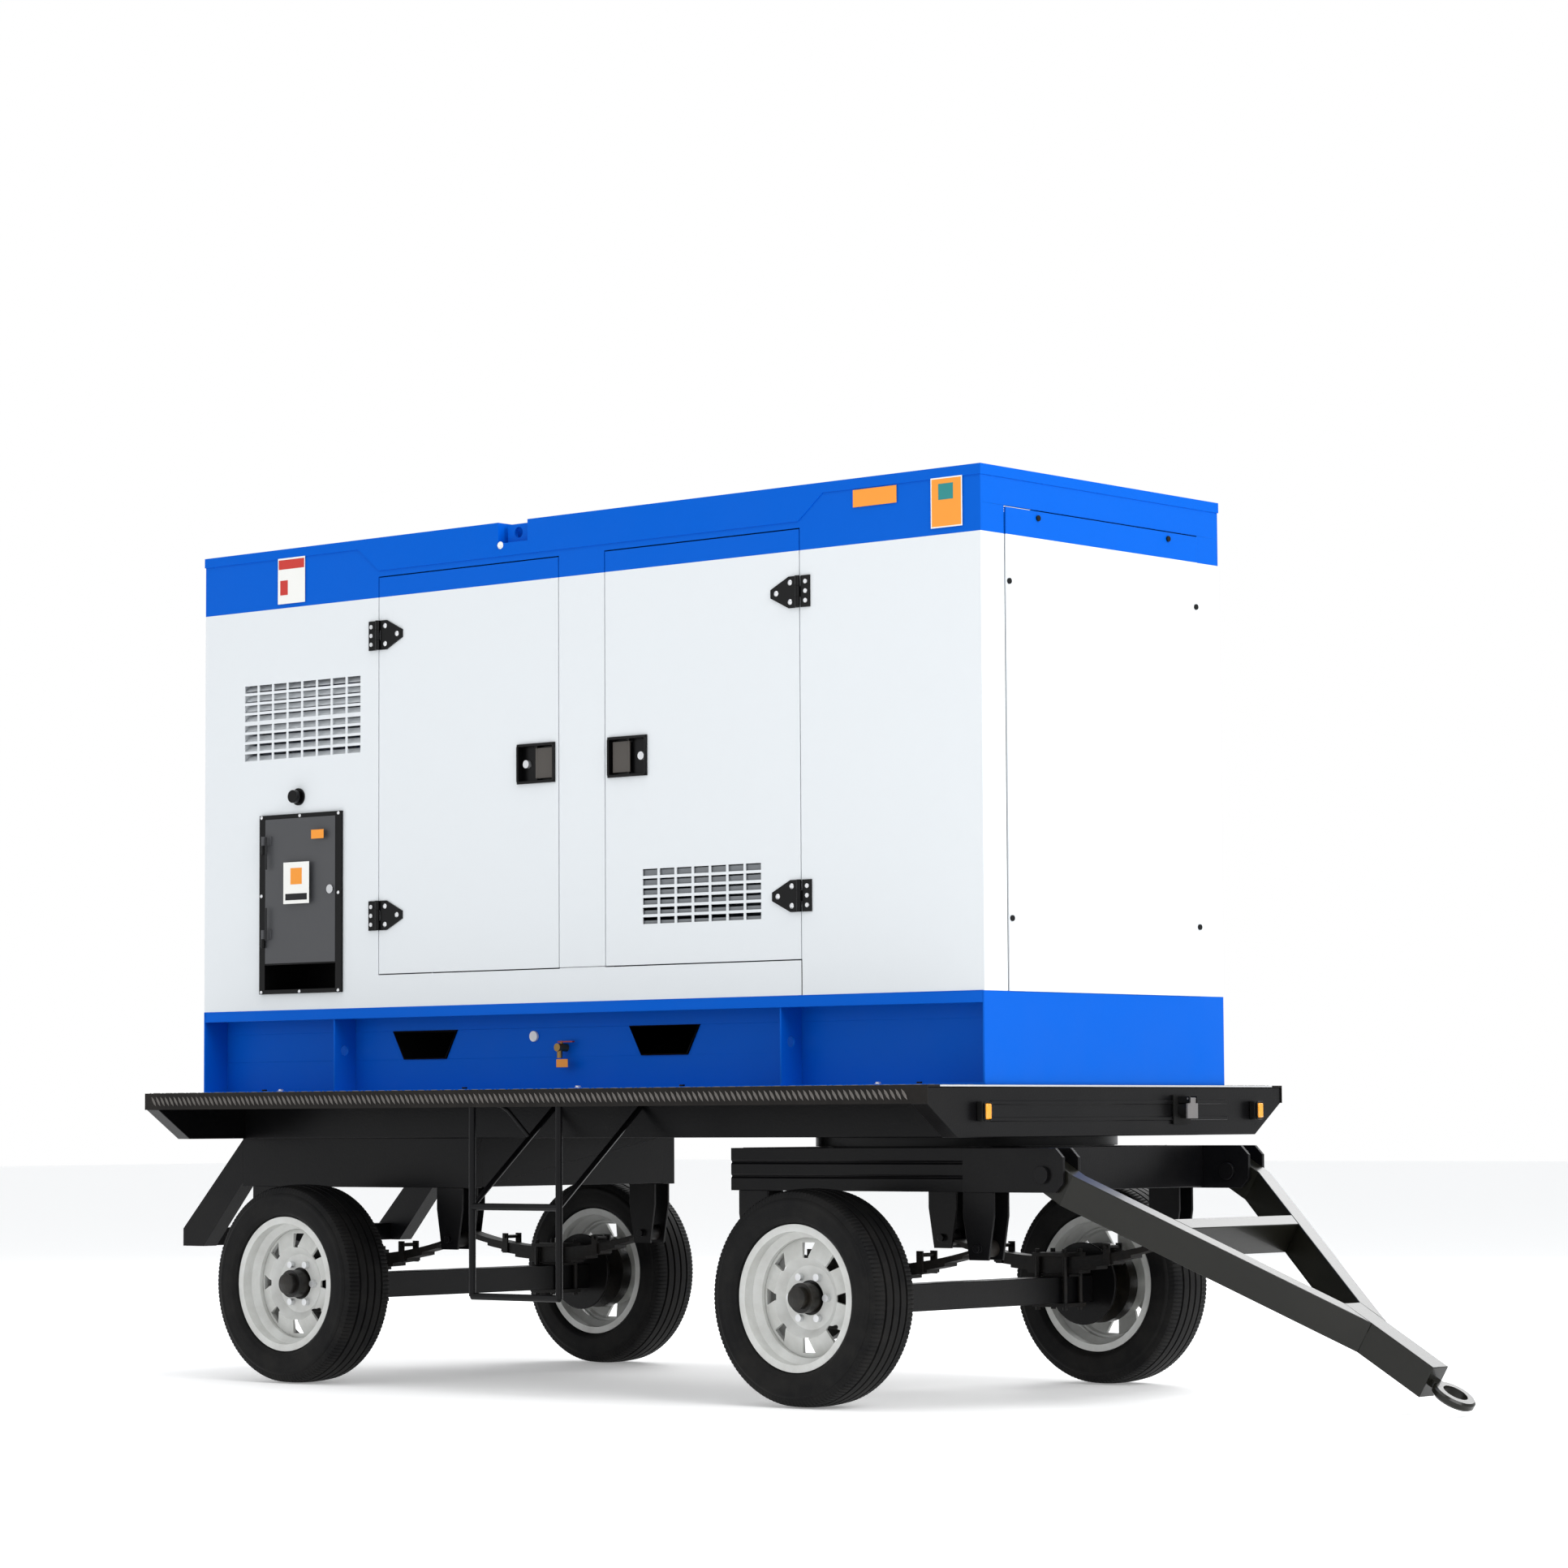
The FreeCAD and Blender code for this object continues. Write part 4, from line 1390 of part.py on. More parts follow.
    back_y = "(-(panel_half - box_deep))"
    face_y = "(%s - socket_face_in + 30)" % back_y
    parts = [block("socket_panel", (window[0] + " + 2", window[1] + " - 2"), (face_y, face_y + " + 3"),
                   (CABLE_HIGH + " + 60", "%s - 6" % top))]
    for index in range(3):
        x_at = "(%s + (%s - %s) * %d / 6)" % (window[0], window[1], window[0], 2 * index + 1)
        parts.append(rod("outlet_%d" % index, "Y", (x_at, face_y + " - outlet_out", CABLE_HIGH + " + 130"),
                         "outlet_r", "outlet_out"))
    middle_x = "((%s + %s) / 2)" % window
    parts.append(block("breaker", (middle_x + " - breaker_w / 2", middle_x + " + breaker_w / 2"),
                       (face_y + " - breaker_out", face_y), ("%s - 40 - breaker_h" % top, "%s - 40" % top)))
    for x_at in (window[0] + " + 2", window[1] + " - 22"):
        parts.append(block("socket_panel_foot", (x_at, x_at + " + 20"), (face_y + " + 3", back_y),
                           (CABLE_HIGH + " + 60", "%s - 6" % top)))
    node("outlet_sockets", parts)


def emergency_stop():
    x, z = STOP_AT
    cap_y = "-(panel_half + stop_ring_t + stop_travel + 2 + stop_out)"
    cap = rod("stop_cap", "Y", (x, cap_y, z), "stop_r", "stop_out")
    stem = rod("stop_stem", "Y", (x, "-(panel_half + stop_ring_t + stop_travel + 4)", z), "stop_stem_r",
               "stop_ring_t + stop_travel + 4 + panel_t + stop_stem_in")
    return node("emergency_stop", [fuse("stop_button", [cap, stem])])


outlet_box()
emergency_stop()


# ---- engine, alternator, cooling, exhaust and battery -------------------------------------------
ENGINE_X = ("-(engine_front + engine_long)", "-engine_front")
CRANK_Z = "(%s + crank_up)" % BASE_TOP
FAN_Z = "(%s + fan_up)" % BASE_TOP


def engine():
    low = "(%s + engine_low)" % BASE_TOP
    high = "(%s + engine_h)" % low
    stack = (("crankcase", "0", "engine_half", low, high),
             ("sump", "sump_inset", "sump_half", low + " - sump_h", low),
             ("cylinder_head", "head_inset", "head_half", high, high + " + head_h"),
             ("rocker_cover", "cover_inset", "cover_half", high + " + head_h", high + " + head_h + cover_h"))
    pieces = [block(name, ("%s + %s" % (ENGINE_X[0], inset), "%s - %s" % (ENGINE_X[1], inset)),
                    ("-" + half, half), (start, end)) for name, inset, half, start, end in stack]
    nose_at = (ENGINE_X[1], "0", FAN_Z)
    nose = rod("fan_boss", "X", nose_at, "fan_hub_r", "engine_front - fan_back - fan_w - face_gap")
    pin = rod("fan_pin", "X", nose_at, "fan_pin_r", "engine_front - fan_back - 6")
    pieces.append(fuse("fan_drive", [nose, pin]))
    for name, side in SIDES:
        for x in (ENGINE_X[0] + " + 60", ENGINE_X[1] + " - 60 - foot_w"):
            foot_y = sided(side, "engine_half", "engine_half + foot_out")
            mount_y = sided(side, "engine_half + 25", "engine_half + foot_out - 10")
            pieces.append(block("engine_foot_" + name, (x, x + " + foot_w"), foot_y, (low, low + " + foot_t")))
            pieces.append(block("engine_mount_" + name, (x + " + 10", x + " + foot_w - 10"), mount_y,
                                (BASE_TOP, low)))
    return node("engine_block", pieces)


def alternator():
    x = "(%s - alternator_long)" % ENGINE_X[0]
    pieces = [rod("alternator_drum", "X", (x, "0", CRANK_Z), "alternator_r", "alternator_long"),
              block("terminal_box", (x + " + 60", x + " + 380"), ("-150", "150"),
                    (CRANK_Z + " + alternator_r", CRANK_Z + " + alternator_r + 130"))]
    for shift in ("80", "alternator_long - 160"):
        start = "%s + %s" % (x, shift)
        pieces.append(block("alternator_foot", (start, start + " + 80"), ("-160", "160"),
                            (BASE_TOP, CRANK_Z + " - alternator_r * 0.8")))
    return node("alternator", [fuse("alternator_shape", pieces)])


def cooling():
    x = ("-radiator_back", "-(radiator_back - radiator_t)")
    pieces = [block("radiator_core", x, ("-radiator_half", "radiator_half"),
                    (BASE_TOP + " + 40", BASE_TOP + " + 40 + radiator_h")),
              block("radiator_foot", (x[0] + " + 10", x[1] + " - 10"), ("-radiator_half", "radiator_half"),
                    (BASE_TOP, BASE_TOP + " + 40")),
              block("header_tank", (x[0] + " - 10", x[1] + " + 10"), ("-radiator_half", "radiator_half"),
                    (BASE_TOP + " + 40 + radiator_h", BASE_TOP + " + 120 + radiator_h"))]
    node("radiator", pieces)
    hub_at = ("-(fan_back + fan_w)", "0", FAN_Z)
    drum = rod("fan_hub", "X", hub_at, "fan_hub_r", "fan_w")
    bore = rod("fan_bore", "X", ("-(fan_back + fan_w) - 1", "0", FAN_Z), "fan_pin_r + run_gap", "fan_w + 2")
    blades = []
    for index in range(int(number("fan_blades"))):
        blade = doc.addObject("Part::Box", "fan_blade")
        bind(blade, "Length", "fan_blade_t")
        bind(blade, "Width", "fan_blade_w")
        bind(blade, "Height", "fan_r - fan_hub_r + 8")
        pitch = FreeCAD.Rotation(FreeCAD.Vector(0, 0, 1), number("fan_pitch"))
        shape = copy_at("pitched_blade", blade, ("0", "0", "0"))
        blade.Placement = FreeCAD.Placement(FreeCAD.Vector(), pitch)
        place(blade, ("fan_blade_w / 2 * sin(fan_pitch * 1 deg)", "-fan_blade_w / 2 * cos(fan_pitch * 1 deg)",
                      "fan_hub_r - 8"))
        turn = FreeCAD.Rotation(FreeCAD.Vector(1, 0, 0), 360 * index / number("fan_blades"))
        shape.Placement = FreeCAD.Placement(FreeCAD.Vector(), turn)
        place(shape, ("-(fan_back + fan_w / 2)", "0", FAN_Z))
        blades.append(shape)
    node("cooling_fan", [cut("fan", fuse("fan_shape", [drum] + blades), bore)])


def exhaust():
    z = "(%s - silencer_drop)" % CANOPY_TOP
    drum = rod("silencer_drum", "X", ("-silencer_back", "0", z), "silencer_r", "silencer_long")
    straps = []
    for middle in ("lift_back", "(silencer_back - silencer_long + 130)"):
        straps.append(block("silencer_strap", ("-(%s + 6)" % middle, "-(%s - 6)" % middle),
                            ("-strap_w / 2", "strap_w / 2"), (z, "%s - post_w" % CANOPY_TOP)))
    top = "(%s + engine_low + engine_h + head_h + cover_h)" % BASE_TOP
    pipe_x = "(-(silencer_back - silencer_long + 200))"
    pipe = rod("exhaust_pipe", "Z", (pipe_x, "0", top), "pipe_r", "%s - %s" % (z, top))
    tail = rod("tail_pipe", "X", ("-(silencer_back - silencer_long)", "0", z), "pipe_r",
               "silencer_back - silencer_long - outlet_back + 60")
    rise = rod("tail_rise", "Z", ("-(outlet_back - 60 + pipe_r)", "0", z), "pipe_r", "silencer_drop - 30")
    return node("silencer", [fuse("exhaust", [drum, pipe, tail, rise] + straps)])


def battery():
    x = ("(-canopy_length + battery_in)", "(-canopy_length + battery_in + battery_long)")
    y = ("battery_y", "battery_y + battery_w")
    case = block("battery_case", x, y, (BASE_TOP, BASE_TOP + " + battery_h"))
    posts_up = []
    for shift in ("50", "battery_long - 50"):
        posts_up.append(rod("battery_post", "Z", ("%s + %s" % (x[0], shift), "battery_y + 40",
                                                  BASE_TOP + " + battery_h"), "terminal_r", "terminal_h"))
    return node("battery", [fuse("battery_shape", [case] + posts_up)])


engine()
alternator()
cooling()
exhaust()
battery()


def finish():
    doc.recompute()
    faults = []
    for item in doc.Objects:
        if "Invalid" in item.State or "Error" in item.State:
            faults.append("%s: %s" % (item.Name, item.State))
    for item in NODES:
        if item.Shape.isNull() or not item.Shape.isValid() or not item.Shape.Solids:
            faults.append("%s has no sound shape" % item.Label)
    if faults:
        raise RuntimeError("\n".join(faults))
    os.makedirs("parts", exist_ok=True)
    for item in NODES:
        item.Shape.exportStep("parts/%s.step" % item.Label)
        box = item.Shape.BoundBox
        print("%-24s solids %3d  x %8.1f %8.1f  y %8.1f %8.1f  z %8.1f %8.1f" % (
            item.Label, len(item.Shape.Solids), box.XMin, box.XMax, box.YMin, box.YMax, box.ZMin, box.ZMax))
    print(len(NODES), "nodes")


finish()
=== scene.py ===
# %% [markdown]
# # A towable diesel generator
# A sound-proofed generating set stands on a blue skid, and the skid is bolted to a flat trailer with
# a turntable, leaf springs and a fold-down drawbar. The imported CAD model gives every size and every
# joint. This lesson gives it its paint, rubber, plastic and small fittings.

# %% Load the frame
import json
import math

import bmesh
import bpy
from mathutils import Matrix, Vector

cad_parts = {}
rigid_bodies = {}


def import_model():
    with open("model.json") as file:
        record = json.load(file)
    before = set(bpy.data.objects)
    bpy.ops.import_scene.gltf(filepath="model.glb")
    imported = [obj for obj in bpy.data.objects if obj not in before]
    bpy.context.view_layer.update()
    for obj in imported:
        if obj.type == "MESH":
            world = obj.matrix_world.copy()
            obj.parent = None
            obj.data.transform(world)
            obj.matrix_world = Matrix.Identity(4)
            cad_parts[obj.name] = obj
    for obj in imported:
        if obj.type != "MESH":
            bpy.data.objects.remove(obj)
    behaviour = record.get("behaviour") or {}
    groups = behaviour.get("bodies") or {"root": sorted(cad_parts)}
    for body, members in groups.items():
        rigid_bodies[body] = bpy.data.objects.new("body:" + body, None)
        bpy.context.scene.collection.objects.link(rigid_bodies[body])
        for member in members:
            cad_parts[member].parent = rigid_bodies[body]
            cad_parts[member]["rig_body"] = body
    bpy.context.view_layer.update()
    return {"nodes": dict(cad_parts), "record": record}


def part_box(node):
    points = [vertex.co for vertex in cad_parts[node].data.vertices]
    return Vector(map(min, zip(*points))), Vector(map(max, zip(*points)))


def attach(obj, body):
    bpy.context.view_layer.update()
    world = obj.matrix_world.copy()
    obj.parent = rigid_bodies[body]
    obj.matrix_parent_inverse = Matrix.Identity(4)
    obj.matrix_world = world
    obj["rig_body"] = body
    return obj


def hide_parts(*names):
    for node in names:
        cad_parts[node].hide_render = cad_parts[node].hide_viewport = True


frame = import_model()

NODES = frame["nodes"]
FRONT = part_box("skid_base")[1].x
SIDE = -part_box("canopy_shell")[0].y
print("canopy front at x =", round(FRONT, 4), "side sheets at y = +-", round(SIDE, 4))

# %% [markdown]
# ## Camera, floor and light
# A long lens low beside the trailer keeps its sides nearly parallel. It stands near the level of the
# wheels and looks up a little, so the deck hides the foot of the skid.
# The light is a big soft sky with one broad lamp ahead of the drawbar: the end panel is the brightest
# face, and the long side stays a shade greyer. A lamp far behind glances off the tops of black steel.

# %% Camera
CAMERA_AT = Vector((8.2657 + FRONT, -11.1387, 0.8602))
YAW, PITCH, ROLL = math.radians(40.640), math.radians(4.2067), math.radians(-0.3203)
LENS_MM = 104.23


def camera_axes():
    level = Vector((-math.sin(YAW), math.cos(YAW), 0))
    right = Vector((math.cos(YAW), math.sin(YAW), 0))
    up = Vector((0, 0, 1))
    ahead = level * math.cos(PITCH) + up * math.sin(PITCH)
    above = up * math.cos(PITCH) - level * math.sin(PITCH)
    across = right * math.cos(ROLL) + above * math.sin(ROLL)
    top = above * math.cos(ROLL) - right * math.sin(ROLL)
    return across, top, ahead


def add_camera():
    across, top, ahead = camera_axes()
    data = bpy.data.cameras.new("studio_camera")
    data.lens = LENS_MM
    data.sensor_width = 36
    data.clip_end = 200
    camera = bpy.data.objects.new("studio_camera", data)
    turn = Matrix((across, top, -ahead)).transposed()
    camera.matrix_world = Matrix.Translation(CAMERA_AT) @ turn.to_4x4()
    bpy.context.scene.collection.objects.link(camera)
    bpy.context.scene.camera = camera


add_camera()

# %% Floor and light
FLOOR_HALF = 60


def area_light(name, at, towards, size, watts, colour=(1, 1, 1)):
    data = bpy.data.lights.new(name, "AREA")
    data.shape = "RECTANGLE"
    data.size, data.size_y = size
    data.energy = watts
    data.color = colour
    lamp = bpy.data.objects.new(name, data)
    lamp.location = at
    lamp.rotation_euler = (Vector(towards) - Vector(at)).to_track_quat("-Z", "Y").to_euler()
    bpy.context.scene.collection.objects.link(lamp)


def add_studio():
    world = bpy.data.worlds.new("pale_sky")
    world.use_nodes = True
    tree = world.node_tree
    sky = tree.nodes["Background"]
    sky.inputs["Color"].default_value = (0.97, 0.985, 1, 1)
    sky.inputs["Strength"].default_value = 0.74
    backdrop = tree.nodes.new("ShaderNodeBackground")
    backdrop.inputs["Color"].default_value = (1, 1, 1, 1)
    seen = tree.nodes.new("ShaderNodeLightPath")
    choose = tree.nodes.new("ShaderNodeMixShader")
    tree.links.new(seen.outputs["Is Camera Ray"], choose.inputs[0])
    tree.links.new(sky.outputs[0], choose.inputs[1])
    tree.links.new(backdrop.outputs[0], choose.inputs[2])
    tree.links.new(choose.outputs[0], tree.nodes["World Output"].inputs["Surface"])
    bpy.context.scene.world = world
    bpy.context.scene.view_settings.view_transform = "Standard"
    area_light("head_light", (9.5, -1.5, 6.5), (1.2, 0, 1.6), (7, 5), 620)
    area_light("top_light", (0, -1, 9.5), (0, 0, 1.5), (9, 6), 260)
    area_light("side_light", (-3, -10, 3.5), (-0.6, 0, 1.4), (8, 3), 60)
    area_light("sheen_light", (-2.7, 9.1, 6.9), (1.9, 0, 0.5), (8, 6), 620)


add_studio()

# %% [markdown]
# ## Node groups shared by the finishes
# Sprayed steel is never one flat colour: dust gathers low down, and the film has a faint orange peel.
# Two small shader groups give those effects to every paint, each with its own amounts.

# %% Shader groups


def socket(tree, name, kind, out=False, value=None):
    made = tree.interface.new_socket(name=name, in_out="OUTPUT" if out else "INPUT", socket_type=kind)
    if value is not None:
        made.default_value = value
    return made


def add_node(tree, kind, **settings):
    node = tree.nodes.new(kind)
    for key, value in settings.items():
        setattr(node, key, value)
    return node


def object_place(tree):
    return add_node(tree, "ShaderNodeTexCoord").outputs["Object"]


def soiling_group():
    """Colour with broad soft dust patches, thicker near the ground."""
    tree = bpy.data.node_groups.new("road_dust", "ShaderNodeTree")
    socket(tree, "Clean", "NodeSocketColor")
    socket(tree, "Dust", "NodeSocketColor")
    socket(tree, "Amount", "NodeSocketFloat", value=0.2)
    socket(tree, "Scale", "NodeSocketFloat", value=3.0)
    socket(tree, "Full height", "NodeSocketFloat", value=1.4)
    socket(tree, "Colour", "NodeSocketColor", out=True)
    socket(tree, "Mask", "NodeSocketFloat", out=True)
    inside = add_node(tree, "NodeGroupInput")
    outside = add_node(tree, "NodeGroupOutput")
    place = object_place(tree)
    noise = add_node(tree, "ShaderNodeTexNoise")
    noise.inputs["Detail"].default_value = 6
    noise.inputs["Roughness"].default_value = 0.62
    tree.links.new(place, noise.inputs["Vector"])
    tree.links.new(inside.outputs["Scale"], noise.inputs["Scale"])
    spread = add_node(tree, "ShaderNodeMapRange")
    spread.inputs["From Min"].default_value = 0.38
    spread.inputs["From Max"].default_value = 0.72
    tree.links.new(noise.outputs["Fac"], spread.inputs["Value"])
    split = add_node(tree, "ShaderNodeSeparateXYZ")
    tree.links.new(place, split.inputs["Vector"])
    low = add_node(tree, "ShaderNodeMapRange")
    low.inputs["To Min"].default_value = 1.0
    low.inputs["To Max"].default_value = 0.15
    tree.links.new(split.outputs["Z"], low.inputs["Value"])
    tree.links.new(inside.outputs["Full height"], low.inputs["From Max"])
    both = add_node(tree, "ShaderNodeMath", operation="MULTIPLY")
    tree.links.new(spread.outputs["Result"], both.inputs[0])
    tree.links.new(low.outputs["Result"], both.inputs[1])
    share = add_node(tree, "ShaderNodeMath", operation="MULTIPLY")
    tree.links.new(both.outputs[0], share.inputs[0])
    tree.links.new(inside.outputs["Amount"], share.inputs[1])
    mix = add_node(tree, "ShaderNodeMix", data_type="RGBA")
    tree.links.new(share.outputs[0], mix.inputs["Factor"])
    tree.links.new(inside.outputs["Clean"], mix.inputs[6])
    tree.links.new(inside.outputs["Dust"], mix.inputs[7])
    tree.links.new(mix.outputs[2], outside.inputs["Colour"])
    tree.links.new(share.outputs[0], outside.inputs["Mask"])
    return tree


def grain_group():
    """Height of a fine grain: orange peel on paint, or the pits of cast iron and rubber."""
    tree = bpy.data.node_groups.new("fine_grain", "ShaderNodeTree")
    socket(tree, "Scale", "NodeSocketFloat", value=400.0)
    socket(tree, "Detail", "NodeSocketFloat", value=3.0)
    socket(tree, "Height", "NodeSocketFloat", out=True)
    inside = add_node(tree, "NodeGroupInput")
    outside = add_node(tree, "NodeGroupOutput")
    noise = add_node(tree, "ShaderNodeTexNoise")
    tree.links.new(object_place(tree), noise.inputs["Vector"])
    tree.links.new(inside.outputs["Scale"], noise.inputs["Scale"])
    tree.links.new(inside.outputs["Detail"], noise.inputs["Detail"])
    tree.links.new(noise.outputs["Fac"], outside.inputs["Height"])
    return tree


SOILING = soiling_group()
GRAIN = grain_group()

# %% [markdown]
# ## Finishes
# Each finish is one Principled shader. Its constants are set on the shader itself, and only the
# colour, the roughness and the bump come through nodes. The canopy paint changes from light grey to
# blue at one height all round, as if it had been masked with tape.

# %% Finish maker


def tone(red, green, blue):
    """A screen colour from 0 to 255 as linear light."""
    def linear(value):
        value = value / 255
        return value / 12.92 if value <= 0.04045 else ((value + 0.055) / 1.055) ** 2.4
    return (linear(red), linear(green), linear(blue), 1)


DUST = tone(150, 140, 122)
DIM_DUST = tone(70, 66, 60)


def finish(name, colour, rough, metal=0.0, coat=0.0, dust=0.15, dust_colour=DUST, dust_scale=3.0,
           grain=400.0, bump=0.0004, rough_spread=0.1, band=None, spec=0.5):
    material = bpy.data.materials.new(name)
    material.use_nodes = True
    tree = material.node_tree
    shader = tree.nodes["Principled BSDF"]
    shader.inputs["Metallic"].default_value = metal
    shader.inputs["Specular IOR Level"].default_value = spec
    shader.inputs["Coat Weight"].default_value = coat
    shader.inputs["Coat Roughness"].default_value = 0.08
    soil = add_node(tree, "ShaderNodeGroup", node_tree=SOILING)
    soil.inputs["Clean"].default_value = colour
    soil.inputs["Dust"].default_value = dust_colour
    soil.inputs["Amount"].default_value = dust
    soil.inputs["Scale"].default_value = dust_scale
    if band:
        split = add_node(tree, "ShaderNodeSeparateXYZ")
        tree.links.new(object_place(tree), split.inputs["Vector"])
        above = add_node(tree, "ShaderNodeMath", operation="GREATER_THAN")
        tree.links.new(split.outputs["Z"], above.inputs[0])
        above.inputs[1].default_value = band[0]
        mix = add_node(tree, "ShaderNodeMix", data_type="RGBA")
        mix.inputs[6].default_value = colour
        mix.inputs[7].default_value = band[1]
        tree.links.new(above.outputs[0], mix.inputs["Factor"])
        tree.links.new(mix.outputs[2], soil.inputs["Clean"])
    tree.links.new(soil.outputs["Colour"], shader.inputs["Base Color"])
    wear = add_node(tree, "ShaderNodeMapRange")
    wear.inputs["To Min"].default_value = rough
    wear.inputs["To Max"].default_value = min(1, rough + rough_spread + 0.5 * dust)
    tree.links.new(soil.outputs["Mask"], wear.inputs["Value"])
    tree.links.new(wear.outputs["Result"], shader.inputs["Roughness"])
    peel = add_node(tree, "ShaderNodeGroup", node_tree=GRAIN)
    peel.inputs["Scale"].default_value = grain
    raise_it = add_node(tree, "ShaderNodeBump")
    raise_it.inputs["Strength"].default_value = 0.6
    raise_it.inputs["Distance"].default_value = bump
    tree.links.new(peel.outputs["Height"], raise_it.inputs["Height"])
    tree.links.new(raise_it.outputs["Normal"], shader.inputs["Normal"])
    return material


# %% The paints and plastics
BLUE = tone(0, 92, 202)
PAPER_GREY = tone(223, 227, 230)
PAINT_LINE = 2.596

canopy_paint = finish("canopy_powder_coat", PAPER_GREY, 0.42, dust=0.03, bump=0.0002, grain=260,
                      band=(PAINT_LINE, BLUE), spec=0.06)
blue_paint = finish("blue_powder_coat", BLUE, 0.36, dust=0.04, bump=0.0002, grain=260, spec=0.05)
chassis_paint = finish("chassis_black", tone(9, 9, 11), 0.28, dust=0.1, dust_colour=DIM_DUST,
                       bump=0.0005, grain=180, spec=0.16)
drawbar_paint = finish("drawbar_black", tone(17, 17, 12), 0.3, coat=0.2, dust=0.08, dust_colour=DIM_DUST,
                       bump=0.0004, grain=200, spec=0.22)
deck_paint = finish("deck_black", tone(18, 15, 13), 0.5, dust=0.3, dust_colour=DIM_DUST, dust_scale=9,
                    bump=0.0009, grain=140, spec=0.16)
# The tread bars are painted far lighter than the deck plate: partly wear on the raised bars, partly a painted
# highlight on their facets.
tread_wear_and_highlight = finish("tread_wear_and_highlight", tone(92, 88, 84), 0.36, dust=0.3, dust_colour=DIM_DUST, dust_scale=9,
                    bump=0.0006, grain=140, spec=0.5)
spring_steel = finish("spring_black", tone(11, 10, 10), 0.5, dust=0.3, dust_colour=tone(60, 52, 44),
                      dust_scale=14, bump=0.0012, grain=90, spec=0.25)
greasy_iron = finish("greasy_iron", tone(12, 11, 10), 0.34, dust=0.35, dust_colour=tone(60, 52, 38),
                     dust_scale=18, bump=0.0015, grain=110, spec=0.4)
wheel_paint = finish("wheel_silver_white", tone(208, 209, 206), 0.4, coat=0.2, dust=0.35,
                     dust_colour=tone(150, 146, 138), dust_scale=16, bump=0.0005, grain=160)
tyre_rubber = finish("tyre_rubber", tone(12, 12, 13), 0.6, dust=0.25, dust_colour=tone(58, 56, 52),
                     dust_scale=10, bump=0.001, grain=220, spec=0.14)
fitting_black = finish("fitting_black", tone(8, 8, 9), 0.28, dust=0.06, dust_colour=DIM_DUST,
                       bump=0.0003, spec=0.2)
paddle_grey = finish("paddle_grey", tone(78, 74, 70), 0.45, metal=0.3, dust=0.05)
box_grey = finish("box_door_grey", tone(66, 67, 70), 0.42, dust=0.08, dust_scale=5, bump=0.0003)
zinc = finish("zinc_plate", tone(225, 226, 228), 0.32, metal=0.75, dust=0.1)
chrome = finish("chrome", tone(232, 233, 235), 0.12, metal=1.0, dust=0.04, bump=0.0001)
brass = finish("dull_brass", tone(150, 120, 70), 0.4, metal=0.9, dust=0.25)
amber = finish("amber_lens", tone(245, 160, 28), 0.2, coat=0.6, dust=0.03)
rubber_black = finish("moulded_black", tone(13, 13, 13), 0.6, dust=0.12, dust_colour=DIM_DUST, spec=0.2)
lid_grey = finish("socket_lid_grey", tone(110, 108, 108), 0.5, dust=0.2, dust_scale=20)
valve_red = finish("lever_red", tone(160, 30, 24), 0.45, dust=0.2)
engine_paint = finish("engine_grey", tone(92, 100, 104), 0.45, dust=0.25, dust_scale=8, bump=0.002, grain=120)
alternator_paint = finish("alternator_grey", tone(70, 78, 86), 0.45, dust=0.2, dust_scale=6)
core_black = finish("radiator_core", tone(20, 20, 21), 0.6, dust=0.3, dust_scale=12)
alu = finish("aluminised_steel", tone(170, 168, 164), 0.38, metal=0.85, dust=0.25, dust_scale=10)
foam_grey = finish("sound_foam", tone(38, 38, 40), 0.95, dust=0.1, bump=0.004, grain=55)
# The fork pockets get a dead matte black, darker than any paint: painted shade inside the pockets.
pocket_painted_shade = finish("pocket_painted_shade", tone(4, 4, 5), 0.8, dust=0.06, dust_colour=DIM_DUST, spec=0.1)
slat_grey = finish("slat_grey", tone(120, 124, 128), 0.5, dust=0.2, dust_scale=12)
gap_black = finish("seam_black", tone(14, 15, 18), 0.8, dust=0.0)
label_white = finish("label_white", tone(238, 238, 234), 0.4, dust=0.04)
label_orange = finish("label_orange", tone(240, 150, 40), 0.4, dust=0.05)
label_red = finish("label_red", tone(196, 44, 34), 0.4, dust=0.05)
label_teal = finish("label_teal", tone(20, 130, 130), 0.4, dust=0.05)
FLOOR = finish("studio_floor", (0.92, 0.92, 0.92, 1), 0.6, dust=0.0, bump=0.0, spec=0.1)
floor_shader = FLOOR.node_tree.nodes["Principled BSDF"]
floor_shader.inputs["Emission Color"].default_value = (1, 1, 1, 1)
floor_shader.inputs["Emission Strength"].default_value = 0.26
print(len(bpy.data.materials), "finishes")

# %% [markdown]
# ## The CAD pieces get their finishes
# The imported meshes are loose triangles. A copy is welded, flat faces are joined again, corners get a
# small bevel that catches the light, and the copy stands for its CAD node. Where one node holds
# pieces of different colours, such as a wheel and its hub, each island is painted by its size.

# %% Refined copies


def bounds_of(verts):
    low = Vector([min(v.co[i] for v in verts) for i in range(3)])
    high = Vector([max(v.co[i] for v in verts) for i in range(3)])
    return low, high


def islands(bm):
    bm.faces.ensure_lookup_table()
    seen = set()
    for face in bm.faces:
        if face.index in seen:
            continue
        group, stack = [], [face]
        seen.add(face.index)
        while stack:
            here = stack.pop()
            group.append(here)
            for edge in here.edges:
                for other in edge.link_faces:
                    if other.index not in seen:
                        seen.add(other.index)
                        stack.append(other)
        yield group


